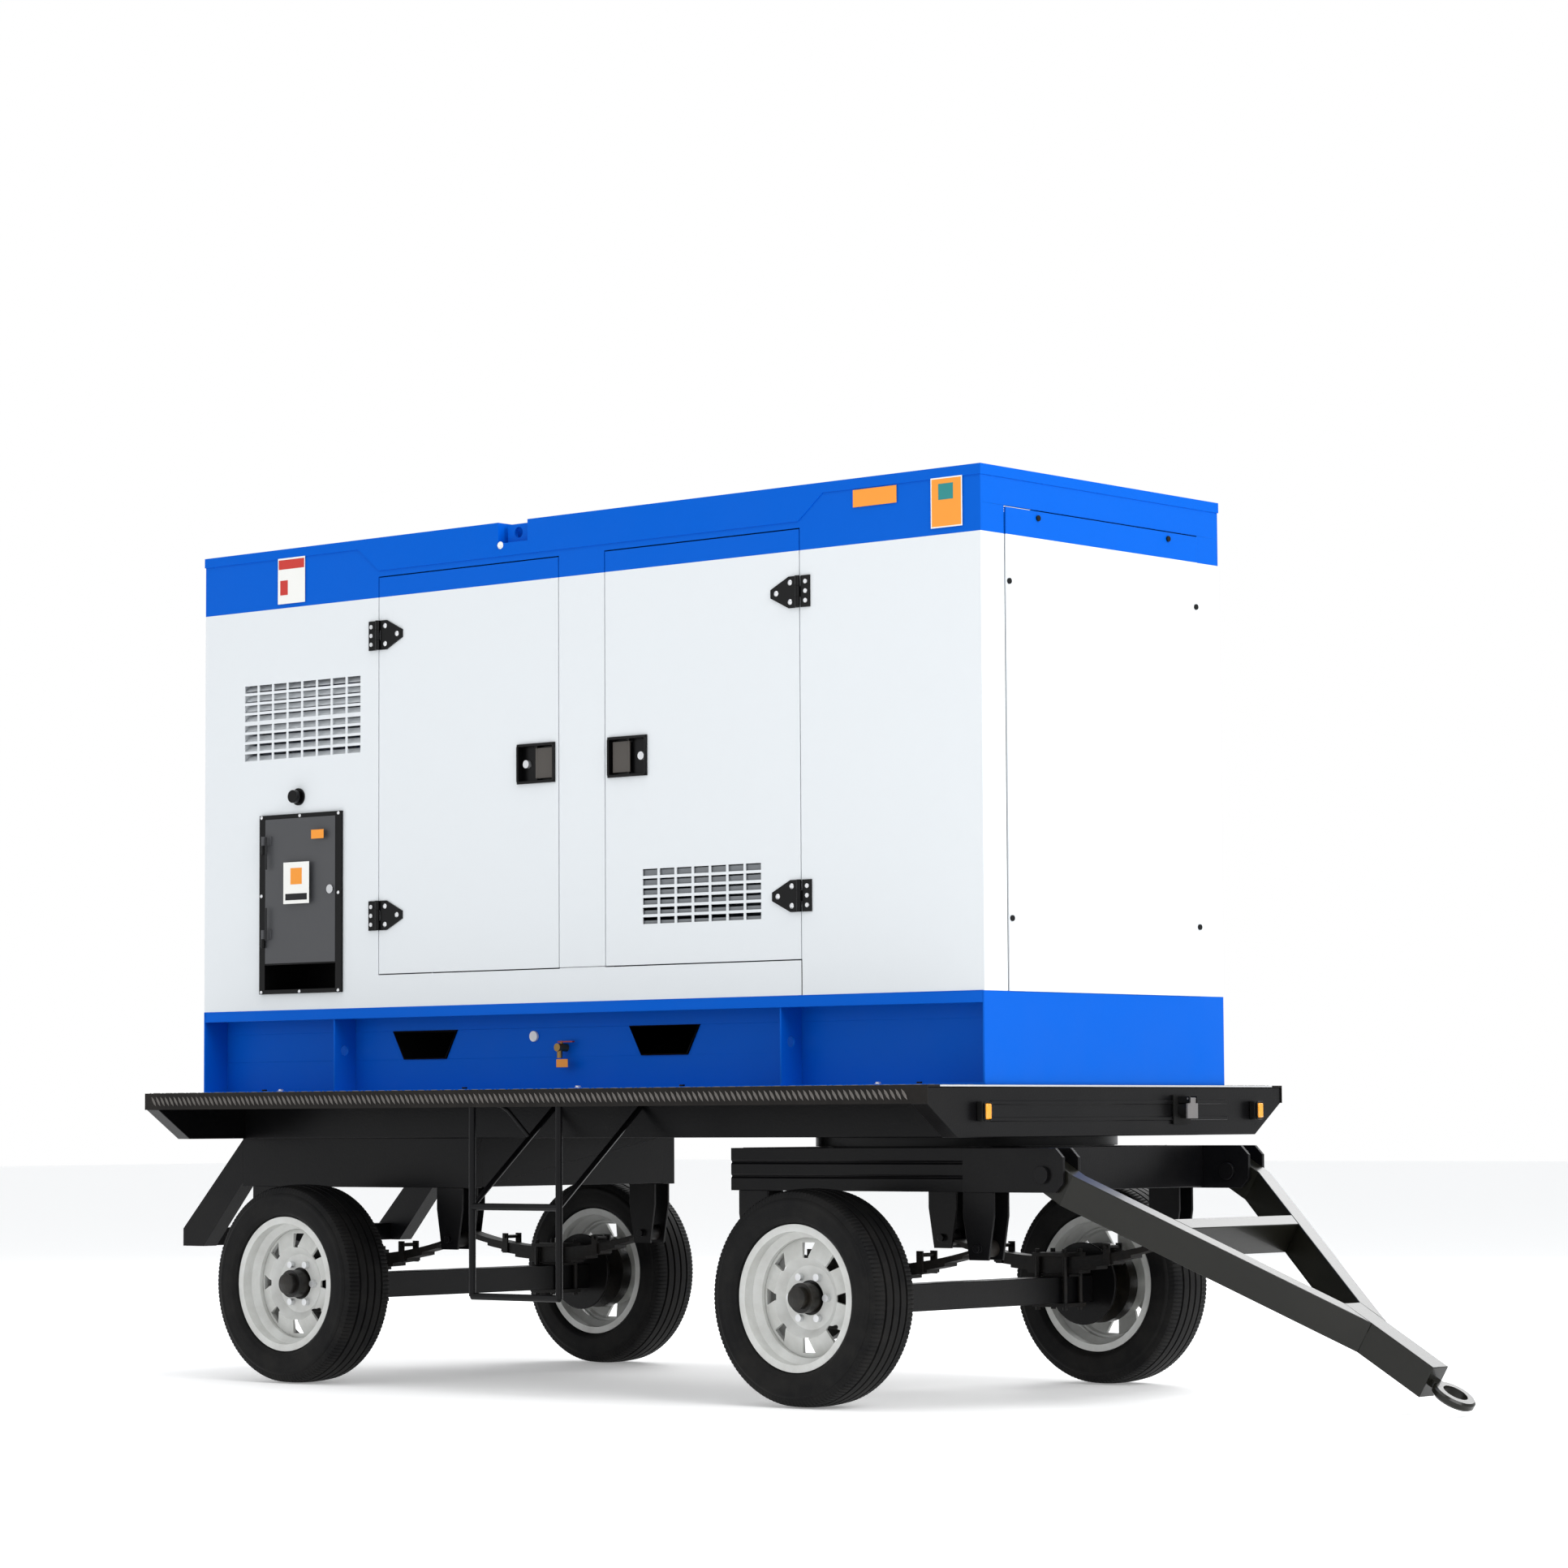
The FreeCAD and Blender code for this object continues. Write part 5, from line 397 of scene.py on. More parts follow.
def refined(node, paints, choose=None, bevel=0.0, crease=32.0, repaint=None):
    """A welded, smoothed copy of a CAD node.

    choose(low, high) gives each island its paint number, and repaint(face) may overrule it for one face.
    """
    mesh = NODES[node].data.copy()
    mesh.materials.clear()
    bm = bmesh.new()
    bm.from_mesh(mesh)
    bmesh.ops.remove_doubles(bm, verts=bm.verts, dist=2e-5)
    bmesh.ops.dissolve_limit(bm, angle_limit=math.radians(0.6), verts=bm.verts, edges=bm.edges)
    if choose:
        for group in islands(bm):
            number = choose(*bounds_of({v for face in group for v in face.verts}))
            for face in group:
                face.material_index = number
    else:
        for face in bm.faces:
            face.material_index = 0
    for face in bm.faces:
        face.smooth = True
        if repaint and repaint(face) is not None:
            face.material_index = repaint(face)
    limit = math.radians(crease)
    for edge in bm.edges:
        edge.smooth = len(edge.link_faces) == 2 and edge.calc_face_angle(9) < limit
    bm.to_mesh(mesh)
    bm.free()
    for paint in paints:
        mesh.materials.append(paint)
    piece = bpy.data.objects.new(node + "_finished", mesh)
    bpy.context.scene.collection.objects.link(piece)
    if bevel:
        soften = piece.modifiers.new("soft_edges", "BEVEL")
        soften.width = bevel
        soften.segments = 2
        soften.limit_method = "ANGLE"
        soften.angle_limit = limit
    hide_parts(node)
    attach(piece, NODES[node]["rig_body"])
    slot_of(node)
    return piece


def slot_of(node):
    for entry in frame["record"]["subparts"]:
        if entry["node"] == node:
            return entry["material_slot"]
    return None


def coat(node, material):
    """A CAD node whose shape is already right keeps its mesh and only gets a better finish."""
    mesh = NODES[node].data
    mesh.materials.clear()
    mesh.materials.append(material)


# %% Paint every node
HUB_HOLE, DRUM_RADIUS, DISC_BACK = 0.0535, 0.129, 0.010
TREAD_PROUD = 0.0022


def wheel_paints(low, high):
    size = high - low
    if size.z > 0.3:
        return 0
    return 1 if size.z > 0.05 else 2


def hub_painter(name):
    """Grease on the hub inside the disc's hole and on the drum behind it."""
    low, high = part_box("wheel_" + name)
    middle = (low + high) / 2
    tyre_low, tyre_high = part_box("tyre_" + name)
    mid_plane = abs(tyre_low.y + tyre_high.y) / 2

    def repaint(face):
        radius = max(math.hypot(vert.co.x - middle.x, vert.co.z - middle.z) for vert in face.verts)
        behind = all(abs(vert.co.y) < mid_plane - DISC_BACK for vert in face.verts)
        return 1 if radius < HUB_HOLE or (behind and radius < DRUM_RADIUS) else None
    return repaint


def bolt_or_plate(low, high):
    size = high - low
    return 1 if max(size) < 0.016 else 0


def key_or_frame(low, high):
    return 1 if (high - low).z < 0.03 else 0


def plug_or_valve(low, high):
    return 1 if (high - low).y < 0.02 else 0


def add_deck_plate():
    """The plate with its side lips two millimetres in, so that the raised tread ends at the CAD size."""
    low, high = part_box("deck_plate")
    piece = refined("deck_plate", [deck_paint])
    for vert in piece.data.vertices:
        for face in (low.y, high.y):
            if abs(vert.co.y - face) < 1e-4:
                vert.co.y -= math.copysign(TREAD_PROUD, face)


BEVELLED = (
    ("deck_frame", chassis_paint, 0.002), ("rear_subframe", chassis_paint, 0.002),
    ("rear_bumper", chassis_paint, 0.0), ("bogie_frame", chassis_paint, 0.002),
    ("drawbar_frame", drawbar_paint, 0.004), ("towing_eye", drawbar_paint, 0.0),
    ("skid_base", blue_paint, 0.0015), ("front_axle", chassis_paint, 0.002),
    ("rear_axle", chassis_paint, 0.002), ("front_leaf_springs", spring_steel, 0.001),
    ("rear_leaf_springs", spring_steel, 0.001), ("step_ladder", chassis_paint, 0.0),
    ("upper_slew_ring", chassis_paint, 0.001), ("lower_slew_ring", chassis_paint, 0.001),
    ("marker_lamp_cases", rubber_black, 0.005), ("marker_lamp_lenses", amber, 0.004),
    ("socket_holder", rubber_black, 0.0015), ("socket_lid", lid_grey, 0.0015),
    # Fork tunnels take the painted shade of the pockets.
    ("fork_tunnels", pocket_painted_shade, 0.001), ("fuel_tank", chassis_paint, 0.004),
    ("drain_lever", valve_red, 0.0008), ("canopy_roof", blue_paint, 0.0),
    ("end_panels", canopy_paint, 0.001), ("box_door", box_grey, 0.0012), ("box_lock", chrome, 0.0008),
    ("emergency_stop", fitting_black, 0.003), ("outlet_box", fitting_black, 0.001),
    ("outlet_sockets", rubber_black, 0.003), ("engine_block", engine_paint, 0.008),
    ("alternator", alternator_paint, 0.006), ("radiator", core_black, 0.003),
    ("cooling_fan", rubber_black, 0.0), ("silencer", alu, 0.004), ("battery", rubber_black, 0.003),
    ("panel_bolts", fitting_black, 0.001),
)
DOORS = ("rear_right", "front_right", "rear_left", "front_left")
WHEELS = ("front_right", "front_left", "rear_right", "rear_left")
for node, paint, bevel in BEVELLED:
    refined(node, [paint], bevel=bevel)
refined("hinge_leaves", [fitting_black, zinc], bolt_or_plate, bevel=0.0008)
refined("drain_valve", [brass, label_white], plug_or_valve)
for name in WHEELS:
    refined("wheel_" + name, [wheel_paint, greasy_iron, zinc], wheel_paints, crease=40,
            repaint=hub_painter(name))
for name in DOORS:
    refined("door_fittings_" + name, [fitting_black, zinc], key_or_frame, bevel=0.0012)
    refined("latch_paddle_" + name, [paddle_grey], bevel=0.0015)
    coat("door_" + name, canopy_paint)
coat("canopy_shell", canopy_paint)
coat("vent_grille", canopy_paint)
add_deck_plate()
print("nodes painted:", len(NODES))

# %% [markdown]
# ## Tyres
# A trailer tyre is moulded: four straight grooves run round the tread, fine sipes cut the shoulders,
# and rings stand proud of the sidewall. One section is drawn as arcs and turned round the spindle in
# small steps. Every fourth step at the shoulder sinks a little, which makes the sipes. A plain lathe
# with a bump map would look smooth against the floor, so the cuts are real.

# %% The tyre section
TREAD_HALF = 0.080
GROOVE_AT = (-0.048, -0.016, 0.016, 0.048)
GROOVE_WIDE, GROOVE_DEEP = 0.0085, 0.008
SIPE_DEEP = 0.0030
SIPE_STEPS = 576
FLANGE_DEEP = 0.0167


def tread_line(outer):
    """Points (across, radius) over the tread with its four grooves, and the depth of a sipe at each."""
    line = []
    crown = 0.005

    def height(across):
        return outer - crown * (across / TREAD_HALF) ** 2

    line.append((-TREAD_HALF, height(TREAD_HALF), 1))
    line.append((-(TREAD_HALF - 0.012), height(TREAD_HALF - 0.012), 1))
    for middle in GROOVE_AT:
        for offset, drop in ((-0.5, 0), (-0.34, 1), (0.34, 1), (0.5, 0)):
            across = middle + offset * GROOVE_WIDE
            line.append((across, height(across) - drop * GROOVE_DEEP, 0))
    line.append((TREAD_HALF - 0.012, height(TREAD_HALF - 0.012), 1))
    line.append((TREAD_HALF, height(TREAD_HALF), 1))
    return line


def sidewall_line(half_wide, outer, flange, bead_half):
    """Shoulder, widest point, rings and bead on the positive side, as (across, radius, sipe)."""
    line = [(TREAD_HALF + 0.008, outer - 0.009, 1), (TREAD_HALF + 0.0125, outer - 0.019, 1)]
    top, low = outer - 0.028, flange + 0.003
    middle, reach = (top + low) / 2, (top - low) / 2
    rings = {3: 0.0016, 4: 0.0016, 11: 0.0020, 12: 0.0020, 14: 0.0014}
    for step in range(17):
        angle = math.pi * (0.5 - step / 16)
        bulge = math.cos(angle) ** 0.75 if step not in (0, 16) else 0
        edge = TREAD_HALF + 0.014 if step < 8 else bead_half + 0.003
        across = edge + (half_wide - 0.002 - edge) * bulge + rings.get(step, 0)
        line.append((min(across, half_wide), middle + reach * math.sin(angle), 0))
    line.append((bead_half, flange + 0.001, 0))
    line.append((bead_half, flange - FLANGE_DEEP, 0))
    return line


def add_tyre(name):
    low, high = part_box("tyre_" + name)
    centre = (low + high) / 2
    outer = (high.x - low.x) / 2
    half_wide = (high.y - low.y) / 2
    rim_low, rim_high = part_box("wheel_" + name)
    side = sidewall_line(half_wide, outer, (rim_high.x - rim_low.x) / 2, half_wide - 0.028)
    mirrored = [(-across, radius, sipe) for across, radius, sipe in reversed(side)]
    section = mirrored + tread_line(outer) + side
    bm = bmesh.new()
    rows = []
    for step in range(SIPE_STEPS):
        angle = 2 * math.pi * step / SIPE_STEPS
        cut = SIPE_DEEP if step % 4 == 0 else 0
        ring = []
        for across, radius, sipe in section:
            here = radius - cut * sipe
            ring.append(bm.verts.new((centre.x + here * math.cos(angle), centre.y + across,
                                      centre.z + here * math.sin(angle))))
        rows.append(ring)
    for step in range(SIPE_STEPS):
        after = rows[(step + 1) % SIPE_STEPS]
        for index in range(len(section)):
            follow = (index + 1) % len(section)
            bm.faces.new((rows[step][index], rows[step][follow], after[follow], after[index]))
    bmesh.ops.recalc_face_normals(bm, faces=bm.faces)
    for edge in bm.edges:
        edge.smooth = edge.calc_face_angle(0) < math.radians(28)
    for face in bm.faces:
        face.smooth = True
    mesh = bpy.data.meshes.new("tyre_" + name + "_moulded")
    bm.to_mesh(mesh)
    bm.free()
    mesh.materials.append(tyre_rubber)
    piece = bpy.data.objects.new("tyre_" + name + "_moulded", mesh)
    bpy.context.scene.collection.objects.link(piece)
    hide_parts("tyre_" + name)
    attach(piece, "wheel_body_" + name)
    return len(mesh.polygons)


for name in WHEELS:
    print("tyre", name, add_tyre(name), "faces")

# %% [markdown]
# ## Small fittings by Geometry Nodes
# Screws, bolt heads and tread lozenges repeat by the dozen. One node tree puts a small
# piece on every point, stands it on the direction stored there, turns it, and sets its material. The
# result is turned into a plain mesh, because the export drops instances.

# %% The scatter tree


def scatter_tree():
    tree = bpy.data.node_groups.new("stand_on_points", "GeometryNodeTree")
    socket(tree, "Geometry", "NodeSocketGeometry")
    socket(tree, "Piece", "NodeSocketObject")
    socket(tree, "Size", "NodeSocketFloat", value=1.0)
    socket(tree, "Finish", "NodeSocketMaterial")
    socket(tree, "Geometry", "NodeSocketGeometry", out=True)
    inside = add_node(tree, "NodeGroupInput")
    outside = add_node(tree, "NodeGroupOutput")
    shape = add_node(tree, "GeometryNodeObjectInfo")
    tree.links.new(inside.outputs["Piece"], shape.inputs["Object"])
    facing = add_node(tree, "GeometryNodeInputNamedAttribute", data_type="FLOAT_VECTOR")
    facing.inputs["Name"].default_value = "facing"
    turn = add_node(tree, "GeometryNodeInputNamedAttribute", data_type="FLOAT")
    turn.inputs["Name"].default_value = "turn"
    stand = add_node(tree, "FunctionNodeAlignRotationToVector", axis="Z")
    tree.links.new(facing.outputs["Attribute"], stand.inputs["Vector"])
    spin = add_node(tree, "FunctionNodeAxisAngleToRotation")
    spin.inputs["Axis"].default_value = (0, 0, 1)
    tree.links.new(turn.outputs["Attribute"], spin.inputs["Angle"])
    both = add_node(tree, "FunctionNodeRotateRotation", rotation_space="LOCAL")
    tree.links.new(stand.outputs["Rotation"], both.inputs["Rotation"])
    tree.links.new(spin.outputs["Rotation"], both.inputs["Rotate By"])
    put = add_node(tree, "GeometryNodeInstanceOnPoints")
    tree.links.new(inside.outputs["Geometry"], put.inputs["Points"])
    tree.links.new(shape.outputs["Geometry"], put.inputs["Instance"])
    tree.links.new(both.outputs["Rotation"], put.inputs["Rotation"])
    tree.links.new(inside.outputs["Size"], put.inputs["Scale"])
    real = add_node(tree, "GeometryNodeRealizeInstances")
    tree.links.new(put.outputs["Instances"], real.inputs["Geometry"])
    dress = add_node(tree, "GeometryNodeSetMaterial")
    tree.links.new(real.outputs["Geometry"], dress.inputs["Geometry"])
    tree.links.new(inside.outputs["Finish"], dress.inputs["Material"])
    tree.links.new(dress.outputs["Geometry"], outside.inputs["Geometry"])
    return tree


SCATTER = scatter_tree()


def set_input(modifier, name, value):
    for item in modifier.node_group.interface.items_tree:
        if item.item_type == "SOCKET" and item.in_out == "INPUT" and item.name == name:
            modifier[item.identifier] = value


def add_piece(name, mesh, body, slot=None):
    """A new piece on a body; the slot argument is not used."""
    piece = bpy.data.objects.new(name, mesh)
    bpy.context.scene.collection.objects.link(piece)
    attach(piece, body)
    return piece


def scatter(name, spots, shape, material, body, slot=None):
    """spots are (point, facing, turn); shape is a template mesh with its foot on z = 0."""
    mesh = bpy.data.meshes.new(name + "_points")
    mesh.from_pydata([spot[0] for spot in spots], [], [])
    facing = mesh.attributes.new("facing", "FLOAT_VECTOR", "POINT")
    facing.data.foreach_set("vector", [part for spot in spots for part in spot[1]])
    turn = mesh.attributes.new("turn", "FLOAT", "POINT")
    turn.data.foreach_set("value", [spot[2] for spot in spots])
    holder = bpy.data.objects.new(name + "_points", mesh)
    template = bpy.data.objects.new(name + "_template", shape)
    for item in (holder, template):
        bpy.context.scene.collection.objects.link(item)
    modifier = holder.modifiers.new("scatter", "NODES")
    modifier.node_group = SCATTER
    set_input(modifier, "Piece", template)
    set_input(modifier, "Finish", material)
    graph = bpy.context.evaluated_depsgraph_get()
    made = bpy.data.meshes.new_from_object(holder.evaluated_get(graph), depsgraph=graph)
    holder.modifiers.clear()
    for item in (holder, template):
        bpy.data.objects.remove(item)
    print(name, len(spots), "pieces")
    return add_piece(name, made, body, slot)


# %% Templates for the small pieces


def lathe(name, rings, sides=16, smooth=True):
    """Rings of (radius, z) turned about Z and closed at both ends."""
    bm = bmesh.new()
    rows = []
    for radius, z in rings:
        row = []
        for step in range(sides):
            angle = 2 * math.pi * step / sides
            row.append(bm.verts.new((radius * math.cos(angle), radius * math.sin(angle), z)))
        rows.append(row)
    for low, high in zip(rows, rows[1:]):
        for step in range(sides):
            after = (step + 1) % sides
            bm.faces.new((low[step], low[after], high[after], high[step])).smooth = smooth
    bm.faces.new(list(reversed(rows[0])))
    bm.faces.new(rows[-1])
    mesh = bpy.data.meshes.new(name)
    bm.to_mesh(mesh)
    bm.free()
    return mesh


def screw_head(name, radius, height):
    """Domed head on a thin washer."""
    return lathe(name, [(radius * 1.25, 0), (radius * 1.25, height * 0.2), (radius, height * 0.25),
                        (radius * 0.92, height * 0.7), (radius * 0.5, height), (radius * 0.2, height)])


def hex_bolt(name, radius, height):
    """Hexagon head with a round washer under it."""
    bm = bmesh.new()
    washer = lathe(name + "_washer", [(radius * 1.35, 0), (radius * 1.35, height * 0.2)], 20)
    head = lathe(name + "_head", [(radius, height * 0.2), (radius, height * 0.9), (radius * 0.85, height)], 6,
                 smooth=False)
    for part in (washer, head):
        bm.from_mesh(part)
    mesh = bpy.data.meshes.new(name)
    bm.to_mesh(mesh)
    bm.free()
    return mesh


def raised_bar(name, long, wide, high):
    """Lozenge of chequer plate: a low bar with tapered ends and sides."""
    bm = bmesh.new()
    foot = [(-long / 2, 0), (-long / 6, -wide / 2), (long / 6, -wide / 2),
            (long / 2, 0), (long / 6, wide / 2), (-long / 6, wide / 2)]
    low = [bm.verts.new((x, y, -0.0005)) for x, y in foot]
    top = [bm.verts.new((x * 0.7, y * 0.5, high)) for x, y in foot]
    for step in range(6):
        after = (step + 1) % 6
        bm.faces.new((low[step], low[after], top[after], top[step]))
    bm.faces.new(top)
    bm.faces.new(list(reversed(low)))
    mesh = bpy.data.meshes.new(name)
    bm.to_mesh(mesh)
    bm.free()
    return mesh


RIGHT, LEFT, AHEAD, UP = (0, -1, 0), (0, 1, 0), (1, 0, 0), (0, 0, 1)
OUT = {-1: RIGHT, 1: LEFT}

# %% [markdown]
# ## Deck tread
# The deck plate is rolled with crossed lozenges, and the same plate is folded down as the side
# fascia. The lozenges stand a millimetre proud, turned one way and then the other. The fascia shows
# them as close diagonal bars.

# %% Chequer lozenges
LOZENGE = raised_bar("lozenge", 0.026, 0.008, 0.0014)
FASCIA_BAR = raised_bar("fascia_bar", 0.042, 0.0105, 0.0020)
fascia_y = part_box("deck_plate")[1].y - TREAD_PROUD
TREAD_STEP, TREAD_CLEAR, TREAD_LEAN = 0.030, 0.012, 0.7854
FASCIA_STEP, FASCIA_END, FASCIA_LEAN = 0.022, 0.045, 0.95
deck_low, deck_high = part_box("deck_plate")
skid_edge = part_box("skid_base")[1].y


def deck_spots():
    spots = []
    rows = int((deck_high.y - deck_low.y) / TREAD_STEP)
    columns = int((deck_high.x - deck_low.x) / TREAD_STEP)
    for row in range(rows):
        y = deck_low.y + TREAD_STEP * (row + 0.5)
        if abs(y) < skid_edge + TREAD_CLEAR:
            continue
        for column in range(columns):
            x = deck_low.x + TREAD_STEP * (column + 0.5)
            lean = TREAD_LEAN if (row + column) % 2 else -TREAD_LEAN
            spots.append(((x, y, deck_high.z), UP, lean))
    return spots


def fascia_spots():
    spots = []
    height = (deck_high.z - deck_low.z) / 2 + deck_low.z
    count = int((deck_high.x - deck_low.x - 2 * FASCIA_END) / FASCIA_STEP)
    for side in (-1, 1):
        for step in range(count):
            x = deck_low.x + FASCIA_END + FASCIA_STEP * step
            spots.append(((x, side * fascia_y, height), OUT[side], side * FASCIA_LEAN))
    return spots


# The tread bars take the lighter tread paint: partly wear, partly a painted highlight.
scatter("deck_tread", deck_spots(), LOZENGE, tread_wear_and_highlight, "chassis", "deck_brown")
scatter("fascia_tread", fascia_spots(), FASCIA_BAR, tread_wear_and_highlight, "chassis", "deck_brown")

# %% [markdown]
# ## Screws and bolts that the model leaves out
# A hinge strap is held by three bright screws, the outlet box by eight, and the lifting point by one.
# They share a few head shapes, so the scatter tree can place them.

# %% Bright screws
SCREW = screw_head("screw", 0.0070, 0.0045)
SMALL_SCREW = screw_head("small_screw", 0.0048, 0.0036)
BOLT = hex_bolt("hex_head", 0.0090, 0.0070)
STRAP_TALL = (0.09, 0.12)
LATCH_TALL = (0.122, 0.14)
STRAP_ROOT, STRAP_TIP, STRAP_SPREAD = 0.040, 0.096, 0.030
BOX_PROUD, BOX_FOOT = 0.010, 0.0965
REAR_RIM, FRONT_RIM, TOP_RIM, HALF_WAY_UP = 0.010, 0.013, 0.0075, 0.03
SKIRT_PROUD = 0.003
STRAP_PLATE = 0.005


def island_boxes(node, least, most):
    """Boxes of a node's islands whose height lies between two values."""
    bm = bmesh.new()
    bm.from_mesh(NODES[node].data)
    bmesh.ops.remove_doubles(bm, verts=bm.verts, dist=2e-5)
    boxes = [bounds_of({vert for face in group for vert in face.verts}) for group in islands(bm)]
    bm.free()
    return [box for box in boxes if least < (box[1] - box[0]).z < most]


def strap_spots(name):
    """Two screws near the knuckle and one near the tip of each strap."""
    low_door, high_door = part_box("door_" + name)
    spots = []
    for low, high in island_boxes("door_fittings_" + name, *STRAP_TALL):
        side = -1 if low.y < 0 else 1
        face = side * (SIDE + STRAP_PLATE)
        middle = (low.z + high.z) / 2
        at_rear = high.x - low_door.x < high_door.x - low.x
        root, step = (low.x, 1) if at_rear else (high.x, -1)
        for along, up in ((STRAP_ROOT, -STRAP_SPREAD), (STRAP_ROOT, STRAP_SPREAD), (STRAP_TIP, 0.0)):
            spots.append(((root + step * along, face, middle + up), OUT[side], 0))
    return spots


for name in DOORS:
    scatter("strap_screws_" + name, strap_spots(name), SCREW, zinc, "door_body_" + name)

box_low, box_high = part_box("box_door")
frame_low, frame_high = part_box("outlet_box")
box_face = -(SIDE + BOX_PROUD)


def box_screws():
    """Corners and middles of the frame round the outlet door."""
    rear, front = frame_low.x + REAR_RIM, frame_high.x - FRONT_RIM
    foot, top = box_low.z - BOX_FOOT, box_high.z + TOP_RIM
    middle, half_way = (rear + front) / 2, (foot + top) / 2 + HALF_WAY_UP
    places = [(rear, foot), (middle, foot), (front, foot), (rear, top), (middle, top), (front, top),
              (rear, half_way), (front, half_way)]
    return [((x, box_face, z), RIGHT, 0) for x, z in places]


scatter("box_screws", box_screws(), SMALL_SCREW, zinc, "chassis")
LIFT_SCREW = (FRONT - 1.980, -(SIDE + SKIRT_PROUD), 2.722)
FLANGE_BACK, FLANGE_Y, FLANGE_Z = (3.07, 1.69, 0.45), 0.557, 0.960
FLANGE_BOLTS = [(FRONT - back, side * FLANGE_Y, FLANGE_Z) for back in FLANGE_BACK for side in (-1, 1)]
scatter("flange_bolts", [(at, UP, 0.3) for at in FLANGE_BOLTS], BOLT, zinc, "chassis")
scatter("lifting_screw", [(LIFT_SCREW, RIGHT, 0)], BOLT, label_white, "chassis")

# %% [markdown]
# ## Plates, stickers and seams
# Stickers are vinyl a few tenths of a millimetre thick, so each is a thin plate on its panel. They
# carry plain shapes and no words. The seams between the canopy sheets are thin dark strips, half a
# millimetre proud.

# %% Thin plates


def plate(name, low, high, material, body, bevel=0.0):
    """A rectangular piece between two corners."""
    bm = bmesh.new()
    bmesh.ops.create_cube(bm, size=1)
    for vert in bm.verts:
        for axis in range(3):
            share = vert.co[axis] + 0.5
            vert.co[axis] = low[axis] + (high[axis] - low[axis]) * share
    if bevel:
        bmesh.ops.bevel(bm, geom=list(bm.edges), offset=bevel, segments=2, affect="EDGES", profile=0.5)
    mesh = bpy.data.meshes.new(name)
    bm.to_mesh(mesh)
    bm.free()
    mesh.materials.append(material)
    return add_piece(name, mesh, body)


def side_plate(name, behind, ahead, low, high, face, material, body="chassis", thick=0.0005, bevel=0.0):
    """A plate on the right-hand side, from its distances behind the canopy front and its heights."""
    return plate(name, (FRONT - behind, face - thick, low), (FRONT - ahead, face, high),
                 material, body, bevel)


skirt_face = -(SIDE + SKIRT_PROUD)
VINYL = 0.0005
side_plate("notice_white", 3.034, 2.901, 2.610, 2.766, skirt_face, label_white)
side_plate("notice_red_band", 3.030, 2.905, 2.728, 2.760, skirt_face - VINYL, label_red)
side_plate("notice_red_square", 3.022, 2.985, 2.640, 2.690, skirt_face - VINYL, label_red)
side_plate("strip_orange", 0.489, 0.318, 2.708, 2.761, skirt_face, label_orange)
side_plate("data_plate", 0.186, 0.066, 2.616, 2.767, skirt_face, label_white)
side_plate("data_plate_field", 0.182, 0.070, 2.620, 2.763, skirt_face - VINYL, label_orange)
side_plate("data_plate_mark", 0.156, 0.100, 2.700, 2.748, skirt_face - VINYL * 2, label_teal)

door_face = box_low.y
side_plate("box_notice_orange", FRONT - box_high.x + 0.100, FRONT - box_high.x + 0.040,
           box_high.z - 0.075, box_high.z - 0.045, door_face, label_orange, "outlet_door")
side_plate("box_notice_white", FRONT - box_high.x + 0.235, FRONT - box_high.x + 0.110,
           box_high.z - 0.290, box_high.z - 0.150, door_face, label_white, "outlet_door")
side_plate("box_notice_sun", FRONT - box_high.x + 0.200, FRONT - box_high.x + 0.145,
           box_high.z - 0.225, box_high.z - 0.170, door_face - VINYL, label_orange, "outlet_door")
side_plate("box_notice_bar", FRONT - box_high.x + 0.225, FRONT - box_high.x + 0.120,
           box_high.z - 0.278, box_high.z - 0.256, door_face - VINYL, gap_black, "outlet_door")
# Two dark plates on the outlet door stand in for its slots: painted shade of the openings.
for number, high in enumerate((box_high.z - 0.060, box_high.z - 0.300)):
    side_plate("box_slot_%d" % (number + 1), FRONT - box_low.x - 0.022, FRONT - box_low.x - 0.034,
               high - 0.110, high, door_face, gap_black, "outlet_door")
side_plate("corner_seam", 0.7075, 0.7045, 1.232, 1.343, -SIDE, gap_black)
side_plate("sill_seam", 1.7260, 1.5200, 1.3415, 1.3430, -SIDE, gap_black)

# A thin bright zinc strip along the deck's front top edge is a painted highlight on that black edge.
EDGE_HIGH, EDGE_THICK = 0.005, 0.0015
plate("deck_edge_strip", (deck_high.x, deck_low.y + 0.06, deck_high.z - EDGE_HIGH),
      (deck_high.x + EDGE_THICK, deck_high.y - 0.06, deck_high.z), zinc, "chassis")
valve_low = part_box("drain_valve")[0]
plate("drain_tag", (valve_low.x + 0.150, valve_low.y + 0.004, valve_low.z - 0.030),
      (valve_low.x + 0.200, valve_low.y + 0.006, valve_low.z - 0.004), label_orange, "chassis", 0.0008)

# %% [markdown]
# ## Rounded rims
# The latches and the marker lamps sit in rounded rims: a die-cast bezel round each paddle, and a black
# ring round each amber lens. One function draws a rounded frame with a raised crest.

# %% Rims


def rounded_outline(half_wide, half_high, radius, steps=6):
    """Points of a rectangle with round corners, in order."""
    points = []
    for corner, (sign_x, sign_y) in enumerate(((1, 1), (-1, 1), (-1, -1), (1, -1))):
        for step in range(steps + 1):
            angle = math.pi / 2 * (corner + step / steps)
            points.append((sign_x * (half_wide - radius) + radius * math.cos(angle),
                           sign_y * (half_high - radius) + radius * math.sin(angle)))
    return points


